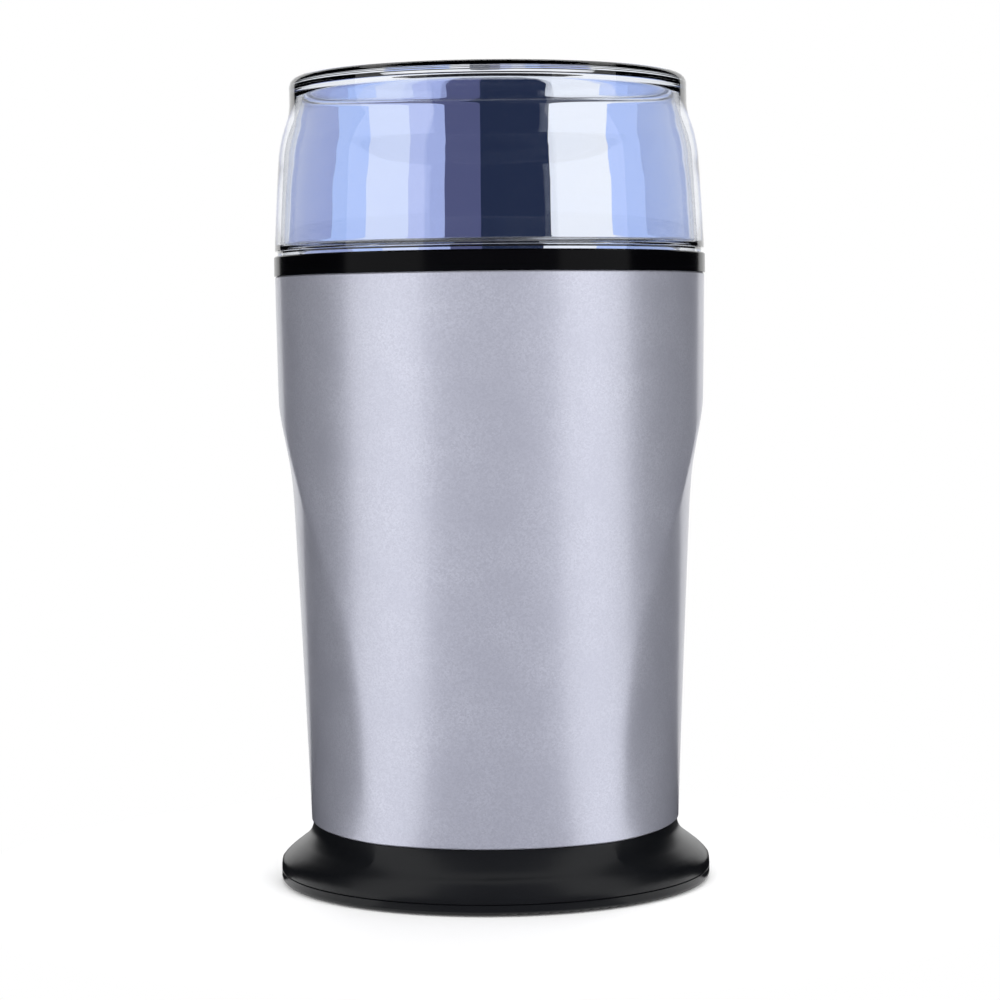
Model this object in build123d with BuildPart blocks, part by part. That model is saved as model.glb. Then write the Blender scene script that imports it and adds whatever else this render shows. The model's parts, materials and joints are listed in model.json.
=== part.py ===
from build123d import *
from math import cos, radians, sin, sqrt
import os

# Electric spice grinder that runs while its clear lid is pressed down.
# Sizes are in millimetres. The origin is the middle of the base at the level
# the feet stand on, +Z is up and the front faces -Y.

os.makedirs("parts", exist_ok=True)

# ---------------------------------------------------------------- main sizes
lid_top_z = 175.4
press_travel = 1.0
stop_gap = 0.1
housing_top_z = 132.4
housing_bottom_z = 13.5

ring_radius = 47.0
housing_top_radius = 46.8
housing_middle_radius = 45.74
housing_bottom_radius = 43.9
housing_wall = 2.0
base_radius = 47.15
base_rim_radius = 46.5
base_rim_z = 0.3

slip = 0.3
fit_gap = 0.02

# Side scoops of the body: height, half width at the side, radius in plan.
body_scoop = [
    (0.0, 39.9, 49.5),
    (13.5, 40.4, 50.0),
    (27.0, 40.9, 51.1),
    (40.0, 41.42, 52.4),
    (52.0, 41.92, 54.3),
    (62.0, 42.35, 56.5),
    (70.0, 42.7, 60.2),
    (78.0, 43.05, 66.0),
    (84.0, 43.33, 77.0),
    (90.0, 43.8, 98.0),
    (96.0, 44.75, 120.0),
    (103.0, 46.15, 120.0),
    (110.0, 47.6, 120.0),
]
# The same scoops carried on into the base, where they run out in the flare.
base_scoop = [
    (14.0, 39.9, 49.6),
    (12.4, 40.1, 49.6),
    (11.0, 40.55, 49.4),
    (9.7, 41.4, 49.2),
    (8.4, 42.85, 49.0),
    (7.2, 44.5, 48.8),
    (5.8, 46.15, 48.6),
    (4.0, 47.4, 48.4),
]
scoop_half_width = 42.0
scoop_outer_x = 60.0
# Rounding along the edge of each scoop, and the least height that tells this edge from others.
scoop_edge_radius = 30.0
scoop_edge_height = 60.0

# Bowl, collar and lid
bowl_radius = 37.4
bowl_wall = 0.6
bowl_floor_z = 98.6
bowl_corner = 11.4
bowl_rim_z = 136.0
bowl_rim_radius = 40.2
channel_outer = 43.3
channel_inner = 41.5
channel_floor_z = 130.3
channel_floor_wall = 1.5
channel_wall_z = 136.9
hook_z = 119.2
hook_groove_radius = 45.25
hook_angle = 45.0
lug_width = 11.0
# The ring's lip stands round the lid's edge and hides the gap for its travel.
lip_top_z = 136.7
lip_radius = 46.5
lid_edge_z = 135.9
lid_radius = 46.8
ledge_z = lid_edge_z - press_travel - stop_gap
rebate_z = lip_top_z + press_travel + stop_gap
skirt_outer = channel_outer - 0.25
skirt_inner = channel_inner + 0.25
skirt_bottom_z = 132.0
lug_bottom_z = 127.0

# Shaft line
shaft_radius = 2.5
shaft_bottom_z = 5.5
shaft_top_z = 109.0
running_gap = 0.05

# Motor
stator_radius = 31.0
stator_flats = 52.0
stator_bottom_z = 44.0
stator_top_z = 66.0
armature_radius = 14.7
bracket_radius = 26.4
bracket_wall = 2.0
bolt_circle = 28.9
damper_circle = 21.5
bearing_radius = 5.45
bearing_seat_radius = bearing_radius + 0.05
bearing_boss_radius = 8.5
brush_z = 31.0

# Frame
frame_plate_z = 93.5
frame_plate = 2.5
cage_radius = 33.7
cage_wall = 2.2
cage_bottom_z = 30.0
frame_rim_z = 103.5
guide_circle = 41.4
column_spots = [(28.7, 10.4), (-28.7, 10.4), (-28.7, -10.4), (28.7, -10.4)]
frame_foot_z = 15.0

# Press ring
press_ring_bottom_z = 112.0
press_ring_top_z = 116.0
post_top_z = 126.8

# Switch behind the motor
switch_length = 20.0
switch_depth = 6.4
switch_bottom_z = 56.0
switch_top_z = 66.2
switch_y = 38.2
lever_pivot_x = -8.0
lever_arm = 13.0
button_arm = 6.5
leg_x = lever_pivot_x + lever_arm
lever_pivot_z = 67.4
switch_screw_x = 4.75
switch_screw_z = 60.0
capacitor_z = 60.0

# Base
base_floor_z = 3.9
base_recess_z = 1.5
spigot_top_z = 17.5
boss_radius = 4.2
boss_height = 11.8
boss_rib_width = 5.0
boss_rib_reach = 42.9
screw_hole_radius = 1.5
corner_spot = 26.0
corner_distance = corner_spot * sqrt(2)
corner_spots = [(corner_spot * i, corner_spot * j) for i in (1, -1) for j in (1, -1)]
foot_spots = [(18.0 * i, 31.2 * j) for i in (1, -1) for j in (1, -1)]
foot_radius = 5.0
gland_z = 7.2
gland_bore = 3.1
gland_barrel_radius = 4.1
eyelet_radius = 5.8
eyelet_near_y = 36.0
eyelet_far_y = 45.6
clamp_y = 31.0
clamp_spots = [(7.5, clamp_y), (-7.5, clamp_y)]
column_radius = 3.7
screw_head_radius = 2.5
screw_head_z = 8.4
vent_circle = 16.5
vent_count = 14


# ------------------------------------------------------------- shared shapes
def side_cutter(stations, inset):
    """The space outside one side scoop, moved inwards by inset."""
    with BuildPart() as cutter:
        for height, reach, plan_radius in stations:
            side_x = reach - inset
            radius = plan_radius - inset
            edge_x = side_x - radius + sqrt(radius**2 - scoop_half_width**2)
            with BuildSketch(Plane.XY.offset(height)):
                with BuildLine():
                    ThreePointArc((edge_x, -scoop_half_width), (side_x, 0), (edge_x, scoop_half_width))
                    Polyline(
                        (edge_x, scoop_half_width),
                        (scoop_outer_x, scoop_half_width),
                        (scoop_outer_x, -scoop_half_width),
                        (edge_x, -scoop_half_width),
                    )
                make_face()
        loft()
    return cutter.part


def body_form(inset, bottom_z, top_z, profile_plane=Plane.XZ):
    """Solid body of the grinder between two heights, moved inwards by inset."""
    cutter = side_cutter(body_scoop, inset)
    with BuildPart() as form:
        with BuildSketch(profile_plane):
            with BuildLine():
                ThreePointArc(
                    (housing_bottom_radius - inset, housing_bottom_z),
                    (housing_middle_radius - inset, (housing_bottom_z + housing_top_z) / 2),
                    (housing_top_radius - inset, housing_top_z),
                )
                Polyline(
                    (housing_top_radius - inset, housing_top_z),
                    (housing_top_radius - inset, housing_top_z + 20),
                    (0, housing_top_z + 20),
                    (0, 0),
                    (housing_bottom_radius - inset - 0.3, 0),
                    (housing_bottom_radius - inset, housing_bottom_z),
                )
            make_face()
        revolve(axis=Axis.Z)
        add(cutter, mode=Mode.SUBTRACT)
        add(mirror(cutter, about=Plane.YZ), mode=Mode.SUBTRACT)
        split(bisect_by=Plane.XY.offset(bottom_z), keep=Keep.TOP)
        split(bisect_by=Plane.XY.offset(top_z), keep=Keep.BOTTOM)
    return form.part


def ring_sector(outer, inner, width, bottom_z, top_z):
    """Two opposite pieces of a ring, front and back, of one width."""
    with BuildPart() as sector:
        with BuildSketch(Plane.XY.offset(bottom_z)):
            Circle(outer)
            Circle(inner, mode=Mode.SUBTRACT)
            Rectangle(width, 2 * outer, mode=Mode.INTERSECT)
        extrude(amount=top_z - bottom_z)
    return sector.part


def screws(spots, head_radius, head_z, head_height, shank_radius, tip_z):
    """Cross-headed screws along Z, with the head at head_z and the tip at tip_z."""
    direction = 1 if tip_z > head_z else -1
    with BuildPart() as group:
        with BuildSketch(Plane.XY.offset(head_z)):
            with Locations(*spots):
                Circle(head_radius)
        extrude(amount=direction * head_height)
        with BuildSketch(Plane.XY.offset(head_z + direction * head_height)):
            with Locations(*spots):
                Circle(shank_radius)
        extrude(amount=tip_z - head_z - direction * head_height)
        with BuildSketch(Plane.XY.offset(head_z)):
            with Locations(*spots):
                Rectangle(head_radius * 1.1, 0.5)
                Rectangle(0.5, head_radius * 1.1)
        extrude(amount=direction * head_height * 0.45, mode=Mode.SUBTRACT)
    return group.part


def square_spring(coil_radius, wire, length, turns):
    """Compression spring of square wire, standing on the origin along Z."""
    with BuildPart() as spring:
        with BuildLine():
            Helix(length / turns, length, coil_radius)
        with BuildSketch(Plane(origin=(coil_radius, 0, 0), z_dir=(0, 1, 0))):
            Rectangle(wire, wire)
        sweep(is_frenet=True)
    return spring.part


# ------------------------------------------------------------------ housing
# The outside starts from a profile at the back, so that no seam crosses the scoops' edges.
with BuildPart() as housing_outside:
    add(body_form(0, housing_bottom_z, housing_top_z, Plane.YZ))
    scoop_edges = housing_outside.edges().filter_by(GeomType.BSPLINE)
    scoop_edges = scoop_edges.filter_by(lambda edge: edge.bounding_box().size.Z > scoop_edge_height)
    fillet(scoop_edges, scoop_edge_radius)
housing_inside = body_form(housing_wall, 0, housing_top_z + 10)

# Screw bosses in the four corners, each on a rib that runs into the wall.
with BuildPart() as housing_bosses:
    with BuildSketch(Plane.XY.offset(spigot_top_z + slip)):
        with Locations(*corner_spots):
            Circle(boss_radius)
        with PolarLocations((corner_distance + boss_rib_reach) / 2, 4, start_angle=45):
            Rectangle(boss_rib_reach - corner_distance, boss_rib_width)
    extrude(amount=boss_height)

with BuildPart() as housing:
    add(housing_outside.part)
    add(housing_inside, mode=Mode.SUBTRACT)
    add(housing_bosses.part)
    with BuildSketch(Plane.XY.offset(spigot_top_z)):
        with Locations(*corner_spots):
            Circle(screw_hole_radius)
    extrude(amount=boss_height - 0.8, mode=Mode.SUBTRACT)
    # Groove that the collar's hooks snap into.
    with BuildSketch(Plane.XY.offset(hook_z - 0.4)):
        Circle(hook_groove_radius)
        Circle(40, mode=Mode.SUBTRACT)
    extrude(amount=2.5, mode=Mode.SUBTRACT)
housing.part.label = "housing"
export_step(housing.part, "parts/housing.step")

# --------------------------------------------------------------------- base
base_top_z = housing_bottom_z - 0.2
base_neck_radius = 43.5
groove_z = 2.65
groove_half_width = 0.15
base_cutter = side_cutter(base_scoop, 0)
base_spigot = body_form(housing_wall + slip, base_floor_z, spigot_top_z)
base_cavity = body_form(housing_wall + slip + 1.8, base_floor_z, spigot_top_z + 1)
gland_plane = Plane(origin=(0, 0, gland_z), x_dir=(-1, 0, 0), z_dir=(0, 1, 0))

with BuildPart() as base:
    with BuildSketch(Plane.XZ):
        with BuildLine():
            # Neck, the flare below it, a fine groove and the rounded lower rim.
            Polyline((0, base_top_z), (base_neck_radius, base_top_z), (base_neck_radius, 12.6))
            ThreePointArc((base_neck_radius, 12.6), (44.1, 10.0), (45.6, 7.6))
            ThreePointArc((45.6, 7.6), (46.75, 5.6), (base_radius, 3.3))
            Polyline(
                (base_radius, 3.3),
                (base_radius, groove_z + groove_half_width),
                (base_radius - 2 * groove_half_width, groove_z),
                (base_radius, groove_z - groove_half_width),
                (base_radius, 1.5),
            )
            ThreePointArc((base_radius, 1.5), (47.0, 0.7), (base_rim_radius, base_rim_z))
            Polyline((base_rim_radius, base_rim_z), (0, base_rim_z), (0, base_top_z))
        make_face()
    revolve(axis=Axis.Z)
    add(base_cutter, mode=Mode.SUBTRACT)
    add(mirror(base_cutter, about=Plane.YZ), mode=Mode.SUBTRACT)
    add(base_spigot)
    # Eyelet for the cord at the back.
    with BuildSketch(gland_plane.offset(eyelet_near_y)):
        Circle(eyelet_radius)
    extrude(amount=eyelet_far_y - eyelet_near_y)
    add(base_cavity, mode=Mode.SUBTRACT)
    # Columns for the housing screws and the frame screws, and clamp bosses.
    with BuildSketch(Plane.XY.offset(base_recess_z)):
        with Locations(*corner_spots):
            Circle(column_radius)
    extrude(amount=spigot_top_z - base_recess_z)
    with BuildSketch(Plane.XY.offset(base_recess_z)):
        with Locations(*column_spots):
            Circle(column_radius)
    extrude(amount=frame_foot_z - slip - base_recess_z)
    with BuildSketch(Plane.XY.offset(base_floor_z)):
        with Locations(*clamp_spots):
            Circle(2.4)
    extrude(amount=1.6)
    # Recess under the floor, and sockets for the feet.
    with BuildSketch(Plane.XY.offset(0)):
        Circle(43.0)
    extrude(amount=base_recess_z, mode=Mode.SUBTRACT)
    with BuildSketch(Plane.XY.offset(base_recess_z)):
        with Locations(*foot_spots):
            Circle(foot_radius + 0.1)
    extrude(amount=0.8, mode=Mode.SUBTRACT)
    with BuildSketch(Plane.XY.offset(base_recess_z)):
        with Locations(*foot_spots):
            Circle(1.5)
    extrude(amount=5, mode=Mode.SUBTRACT)
    # Deep screw holes from below.
    with BuildSketch(Plane.XY.offset(base_recess_z)):
        with Locations(*corner_spots, *column_spots):
            Circle(2.7)
    extrude(amount=9.0, mode=Mode.SUBTRACT)
    with BuildSketch(Plane.XY.offset(base_recess_z)):
        with Locations(*corner_spots, *column_spots):
            Circle(1.6)
    extrude(amount=17, mode=Mode.SUBTRACT)
    with BuildSketch(Plane.XY.offset(base_floor_z)):
        with Locations(*clamp_spots):
            Circle(1.1)
    extrude(amount=2, mode=Mode.SUBTRACT)
    # Air slots under the fan.
    with BuildSketch(Plane.XY.offset(base_recess_z)):
        with PolarLocations(vent_circle, vent_count):
            SlotOverall(11, 2.4)
    extrude(amount=3, mode=Mode.SUBTRACT)
    # Bore and inner seat of the gland.
    with BuildSketch(gland_plane.offset(eyelet_near_y)):
        Circle(gland_barrel_radius + 0.05)
    extrude(amount=12, mode=Mode.SUBTRACT)
    with BuildSketch(gland_plane.offset(eyelet_near_y - 2)):
        Circle(4.9)
    extrude(amount=4, mode=Mode.SUBTRACT)
    with BuildSketch(gland_plane.offset(eyelet_far_y)):
        Circle(5.5)
    extrude(amount=4, mode=Mode.SUBTRACT)
base.part.label = "base"
export_step(base.part, "parts/base.step")

with BuildPart() as rubber_feet:
    with BuildSketch():
        with Locations(*foot_spots):
            Circle(foot_radius)
    extrude(amount=base_recess_z + 0.8)
    chamfer(rubber_feet.faces().sort_by(Axis.Z)[0:4].edges(), 0.4)
    with BuildSketch(Plane.XY.offset(base_recess_z + 0.8)):
        with Locations(*foot_spots):
            Circle(1.45)
    extrude(amount=2.4)
rubber_feet.part.label = "rubber_feet"
export_step(rubber_feet.part, "parts/rubber_feet.step")

base_screws = screws(corner_spots, screw_head_radius, screw_head_z, 2.0, 1.45, 28.0)
base_screws.label = "base_screws"
export_step(base_screws, "parts/base_screws.step")

frame_screws = screws(column_spots, screw_head_radius, screw_head_z, 2.0, 1.45, 24.0)
frame_screws.label = "frame_screws"
export_step(frame_screws, "parts/frame_screws.step")

# -------------------------------------------------------------- cord inlet
with BuildPart() as cord_gland:
    with BuildSketch(gland_plane.offset(eyelet_far_y)):
        Circle(5.3)
    extrude(amount=1.5, taper=12)
    with BuildSketch(gland_plane.offset(37.8)):
        Circle(gland_barrel_radius)
    extrude(amount=8)
    with BuildSketch(gland_plane.offset(36.2)):
        Circle(4.8)
    extrude(amount=1.6)
    with BuildSketch(gland_plane.offset(eyelet_near_y)):
        Circle(gland_bore)
    extrude(amount=12, mode=Mode.SUBTRACT)
cord_gland.part.label = "cord_gland"
export_step(cord_gland.part, "parts/cord_gland.step")

clamp_z = base_floor_z + 1.7
clamp_thickness = 2.0
with BuildPart() as cord_clamp:
    with BuildSketch(Plane.XY.offset(clamp_z)):
        SlotOverall(20, 5)
    extrude(amount=clamp_thickness)
    with BuildSketch(Plane.XZ.offset(-2.5)):
        with Locations((0, gland_z)):
            Circle(4.6)
    extrude(amount=5)
    with BuildSketch(Plane.XZ.offset(-4)):
        with Locations((0, gland_z)):
            Circle(3.2)
    extrude(amount=8, mode=Mode.SUBTRACT)
    split(bisect_by=Plane.XY.offset(clamp_z), keep=Keep.TOP)
    with Locations(*[(x, 0, clamp_z + clamp_thickness) for x, y in clamp_spots]):
        Hole(1.3)
cord_clamp.part.position = (0, clamp_y, 0)
cord_clamp.part.label = "cord_clamp"
export_step(cord_clamp.part, "parts/cord_clamp.step")

clamp_screws = screws(clamp_spots, 2.1, 9.0, 1.3, 1.05, 4.2)
clamp_screws.label = "clamp_screws"
export_step(clamp_screws, "parts/clamp_screws.step")

# ------------------------------------------------------------------- collar
ring_bottom_z = housing_top_z + 0.1
lip_bevel = 0.25
gasket_z = bowl_rim_z - 1.0
rim_seat_radius = bowl_rim_radius + 0.2
collar_skirt_radius = 44.35
lug_slots = ring_sector(channel_outer - 0.1, channel_inner + 0.1, lug_width + 1.6, 128, 131)

with BuildPart() as collar:
    with BuildSketch(Plane.XZ):
        with BuildLine():
            Polyline(
                (ring_radius, ring_bottom_z),
                (ring_radius, lip_top_z - lip_bevel),
                (ring_radius - lip_bevel, lip_top_z),
                (lip_radius, lip_top_z),
                (lip_radius, ledge_z),
                (channel_outer, ledge_z),
                (channel_outer, channel_floor_z),
                (channel_inner, channel_floor_z),
                (channel_inner, channel_wall_z),
                (rim_seat_radius, channel_wall_z),
                (rim_seat_radius, gasket_z),
                (38.6, gasket_z),
                (38.6, gasket_z - 1.4),
                (40.2, gasket_z - 2.4),
                (40.2, channel_floor_z - channel_floor_wall),
                (channel_outer, channel_floor_z - channel_floor_wall),
                (channel_outer, press_ring_top_z + slip),
                (collar_skirt_radius, press_ring_top_z + slip),
                (collar_skirt_radius, ring_bottom_z),
                (ring_radius, ring_bottom_z),
            )
        make_face()
    revolve(axis=Axis.Z)
    add(lug_slots, mode=Mode.SUBTRACT)
    # Four hooks that snap into the housing's groove.
    with BuildSketch(Plane.XY.offset(hook_z)):
        with PolarLocations(44.5, 4, start_angle=hook_angle):
            Rectangle(1.0, 9)
    extrude(amount=1.8)
collar.part.label = "collar"
export_step(collar.part, "parts/collar.step")

# ---------------------------------------------------------------------- lid
lid_lugs = ring_sector(channel_outer - 0.5, skirt_inner, lug_width, lug_bottom_z, skirt_bottom_z + 1)
lid_ceiling_z = lid_top_z - 2.4
flange_top_z = lid_edge_z + 1.7

with BuildPart() as lid:
    with BuildSketch(Plane.XZ):
        with BuildLine():
            # Skirt that sits in the channel, flange over the ledge and the rebate inside the lip.
            Polyline(
                (skirt_inner, flange_top_z),
                (skirt_inner, skirt_bottom_z),
                (skirt_outer, skirt_bottom_z),
                (skirt_outer, lid_edge_z),
                (lip_radius - slip, lid_edge_z),
                (lip_radius - slip, rebate_z),
                (lid_radius, rebate_z),
            )
            # Outside of the wall, with the step below the crown.
            ThreePointArc((lid_radius, rebate_z), (46.35, 147.0), (45.75, 157.0))
            ThreePointArc((45.75, 157.0), (45.2, 161.2), (44.2, 164.8))
            ThreePointArc((44.2, 164.8), (43.4, 167.6), (43.2, 170.5))
            Line((43.2, 170.5), (43.2, 173.2))
            ThreePointArc((43.2, 173.2), (42.55, 174.75), (41.0, lid_top_z))
            Polyline((41.0, lid_top_z), (0, lid_top_z), (0, lid_ceiling_z), (38.6, lid_ceiling_z))
            # Inside of the wall.
            ThreePointArc((38.6, lid_ceiling_z), (40.3, 172.3), (41.0, 170.6))
            ThreePointArc((41.0, 170.6), (41.4, 166.8), (42.4, 163.0))
            ThreePointArc((42.4, 163.0), (43.75, 157.0), (44.4, 147.0))
            Line((44.4, 147.0), (44.8, flange_top_z + 1.6))
            ThreePointArc((44.8, flange_top_z + 1.6), (44.4, flange_top_z + 0.5), (43.3, flange_top_z))
            Line((43.3, flange_top_z), (skirt_inner, flange_top_z))
        make_face()
    revolve(axis=Axis.Z)
    add(lid_lugs)
lid.part.label = "lid"
export_step(lid.part, "parts/lid.step")

# --------------------------------------------------------------------- bowl
bowl_outer = bowl_radius + bowl_wall
corner_center = bowl_radius - bowl_corner
corner_z = bowl_floor_z + bowl_corner
half_turn = sin(radians(45))

with BuildPart() as bowl:
    with BuildSketch(Plane.XZ):
        with BuildLine():
            Line((6.6, bowl_floor_z - bowl_wall), (corner_center, bowl_floor_z - bowl_wall))
            ThreePointArc(
                (corner_center, bowl_floor_z - bowl_wall),
                (corner_center + half_turn * 12, corner_z - half_turn * 12),
                (bowl_outer, corner_z),
            )
            Polyline(
                (bowl_outer, corner_z),
                (bowl_outer, bowl_rim_z - bowl_wall),
                (bowl_rim_radius, bowl_rim_z - bowl_wall),
                (bowl_rim_radius, bowl_rim_z),
                (bowl_outer + 0.4, bowl_rim_z),
            )
            ThreePointArc((bowl_outer + 0.4, bowl_rim_z), (37.7, 135.7), (bowl_radius, 135.0))
            Line((bowl_radius, 135.0), (bowl_radius, corner_z))
            ThreePointArc(
                (bowl_radius, corner_z),
                (corner_center + half_turn * bowl_corner, corner_z - half_turn * bowl_corner),
                (corner_center, bowl_floor_z),
            )
            Polyline((corner_center, bowl_floor_z), (6.6, bowl_floor_z), (6.6, bowl_floor_z - bowl_wall))
        make_face()
    revolve(axis=Axis.Z)
bowl.part.label = "bowl"
export_step(bowl.part, "parts/bowl.step")

with BuildPart() as bowl_gasket:
    with BuildSketch(Plane.XY.offset(135.0)):
        Circle(40.3)
        Circle(38.7, mode=Mode.SUBTRACT)
    extrude(amount=0.4)
bowl_gasket.part.label = "bowl_gasket"
export_step(bowl_gasket.part, "parts/bowl_gasket.step")

with BuildPart() as bowl_sleeve:
    with BuildSketch(Plane.XY.offset(88.5)):
        Circle(6.4)
    extrude(amount=bowl_floor_z - 88.5)
    with BuildSketch(Plane.XY.offset(bowl_floor_z)):
        Circle(10)
    extrude(amount=1.0)
    with Locations((0, 0, bowl_floor_z + 1.0)):
        Hole(3.2)
bowl_sleeve.part.label = "bowl_sleeve"
export_step(bowl_sleeve.part, "parts/bowl_sleeve.step")

with BuildPart() as sleeve_nut:
    with BuildSketch(Plane.XY.offset(87.6)):
        RegularPolygon(9.8, 6)
        Circle(6.45, mode=Mode.SUBTRACT)
    extrude(amount=2.8)
sleeve_nut.part.label = "sleeve_nut"
export_step(sleeve_nut.part, "parts/sleeve_nut.step")

with BuildPart() as shaft_seal:
    with BuildSketch(Plane.XZ):
        with BuildLine():
            Polyline(
                (shaft_radius + 0.1, 99.7),
                (8.0, 99.7),
                (8.0, 100.4),
                (4.2, 100.6),
                (shaft_radius + 0.1, 101.3),
                (shaft_radius + 0.1, 99.7),
            )
        make_face()
    revolve(axis=Axis.Z)
shaft_seal.part.label = "shaft_seal"
export_step(shaft_seal.part, "parts/shaft_seal.step")

# -------------------------------------------------------------- blade group
with BuildPart() as motor_shaft:
    with BuildSketch(Plane.XY.offset(shaft_bottom_z)):
        Circle(shaft_radius)
    extrude(amount=shaft_top_z - shaft_bottom_z)
    chamfer(motor_shaft.edges().filter_by(GeomType.CIRCLE), 0.4)
motor_shaft.part.label = "motor_shaft"
export_step(motor_shaft.part, "parts/motor_shaft.step")

with BuildPart() as blade_spacer:
    with BuildSketch(Plane.XY.offset(101.5)):
        Circle(5.0)
        Circle(shaft_radius + fit_gap, mode=Mode.SUBTRACT)
    extrude(amount=1.5)
blade_spacer.part.label = "blade_spacer"
export_step(blade_spacer.part, "parts/blade_spacer.step")

blade_z = 103.0
blade_thickness = 1.5
blade_tip = 30.0
with BuildPart() as blade:
    # Side profile: one arm rises to its tip and the other falls.
    with BuildSketch(Plane.XZ.offset(-12)):
        with BuildLine():
            Polyline(
                (-blade_tip, blade_z - 2.4),
                (-12, blade_z),
                (13, blade_z),
                (24, blade_z + 1.6),
                (blade_tip, blade_z + 5.5),
                (blade_tip, blade_z + 5.5 + blade_thickness),
                (23.4, blade_z + 1.6 + blade_thickness),
                (12.7, blade_z + blade_thickness),
                (-12, blade_z + blade_thickness),
                (-blade_tip, blade_z - 2.4 + blade_thickness),
                (-blade_tip, blade_z - 2.4),
            )
        make_face()
    extrude(amount=24)
    # Plan outline: round hub, arms that sweep back to rounded tips.
    with BuildSketch(Plane.XY.offset(blade_z - 6)):
        with BuildLine():
            ThreePointArc((8, -6.5), (0, -9.5), (-8, -4.5))
            ThreePointArc((-8, -4.5), (-20, -2.0), (-29, -3.0))
            ThreePointArc((-29, -3.0), (-30, 0.5), (-28, 3.5))
            ThreePointArc((-28, 3.5), (-18, 6.5), (-8, 6.5))
            ThreePointArc((-8, 6.5), (0, 9.5), (8, 4.5))
            ThreePointArc((8, 4.5), (20, 2.0), (29, 3.0))
            ThreePointArc((29, 3.0), (30, -0.5), (28, -3.5))
            ThreePointArc((28, -3.5), (18, -6.5), (8, -6.5))
        make_face()
    extrude(amount=18, mode=Mode.INTERSECT)
    with Locations((0, 0, blade_z + blade_thickness)):
        Hole(shaft_radius + fit_gap)
blade.part.label = "blade"
export_step(blade.part, "parts/blade.step")

cap_z = blade_z + blade_thickness + fit_gap
with BuildPart() as blade_cap:
    with BuildSketch(Plane.XZ):
        with BuildLine():
            Polyline(
                (0, shaft_top_z + fit_gap),
                (shaft_radius + fit_gap, shaft_top_z + fit_gap),
                (shaft_radius + fit_gap, cap_z),
                (7.5, cap_z),
                (7.5, cap_z + 1.2),
                (6.2, cap_z + 1.8),
                (5.4, cap_z + 4.4),
            )
            ThreePointArc((5.4, cap_z + 4.4), (4.6, cap_z + 6.1), (3.0, cap_z + 6.8))
            Polyline((3.0, cap_z + 6.8), (0, cap_z + 7.0), (0, shaft_top_z + fit_gap))
        make_face()
    revolve(axis=Axis.Z)
blade_cap.part.label = "blade_cap"
export_step(blade_cap.part, "parts/blade_cap.step")

# ----------------------------------------------------------- turning motor
slots = 12
rotor_hole = shaft_radius + fit_gap

with BuildPart() as armature_core:
    with BuildSketch(Plane.XY.offset(stator_bottom_z + 0.5)):
        Circle(armature_radius)
        with PolarLocations(11.6, slots):
            SlotOverall(5.4, 3.2, mode=Mode.SUBTRACT)
        with PolarLocations(13.8, slots):
            Rectangle(3.0, 1.2, mode=Mode.SUBTRACT)
        Circle(rotor_hole, mode=Mode.SUBTRACT)
    extrude(amount=stator_top_z - stator_bottom_z - 1)
armature_core.part.label = "armature_core"
export_step(armature_core.part, "parts/armature_core.step")

with BuildPart() as armature_windings:
    with BuildSketch(Plane.XZ):
        with BuildLine():
            Polyline((6.0, 44.3), (12.4, 44.3))
            ThreePointArc((12.4, 44.3), (11.6, 40.8), (9.0, 39.0))
            Polyline((9.0, 39.0), (6.0, 39.0), (6.0, 44.3))
        make_face()
        with BuildLine():
            Polyline((6.0, 65.7), (12.4, 65.7))
            ThreePointArc((12.4, 65.7), (11.6, 69.0), (9.0, 70.4))
            Polyline((9.0, 70.4), (6.0, 70.4), (6.0, 65.7))
        make_face()
    revolve(axis=Axis.Z)
    with BuildSketch(Plane.XY.offset(stator_bottom_z)):
        with PolarLocations(11.1, slots):
            SlotOverall(4.4, 2.6)
    extrude(amount=22)
armature_windings.part.label = "armature_windings"
export_step(armature_windings.part, "parts/armature_windings.step")

commutator_radius = 9.0
commutator_bottom_z = 25.5
riser_z = 36.5
riser_height = 1.8
with BuildPart() as commutator:
    with BuildSketch(Plane.XY.offset(commutator_bottom_z)):
        Circle(commutator_radius)
    extrude(amount=riser_z - commutator_bottom_z)
    with BuildSketch(Plane.XY.offset(riser_z)):
        Circle(commutator_radius + 1.6)
    extrude(amount=riser_height)
    # Gaps between the bars.
    with BuildSketch(Plane.XY.offset(commutator_bottom_z)):
        with PolarLocations(commutator_radius + 0.6, slots):
            Rectangle(2.6, 0.6)
    extrude(amount=13, mode=Mode.SUBTRACT)
    with Locations((0, 0, riser_z + riser_height)):
        Hole(rotor_hole)
commutator.part.label = "commutator"
export_step(commutator.part, "parts/commutator.step")

fan_z = 7.0
fan_disc = 1.2
fan_hub_height = 5.8
with BuildPart() as cooling_fan:
    with BuildSketch(Plane.XY.offset(fan_z)):
        Circle(22)
    extrude(amount=fan_disc)
    with BuildSketch(Plane.XY.offset(fan_z)):
        Circle(6)
    extrude(amount=fan_hub_height)
    with BuildSketch(Plane.XY.offset(fan_z + fan_disc)):
        with PolarLocations(14.2, 9):
            Rectangle(14.6, fan_disc, rotation=28)
    extrude(amount=4.4)
    with Locations((0, 0, fan_z + fan_hub_height)):
        Hole(rotor_hole)
cooling_fan.part.label = "cooling_fan"
export_step(cooling_fan.part, "parts/cooling_fan.step")

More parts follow.
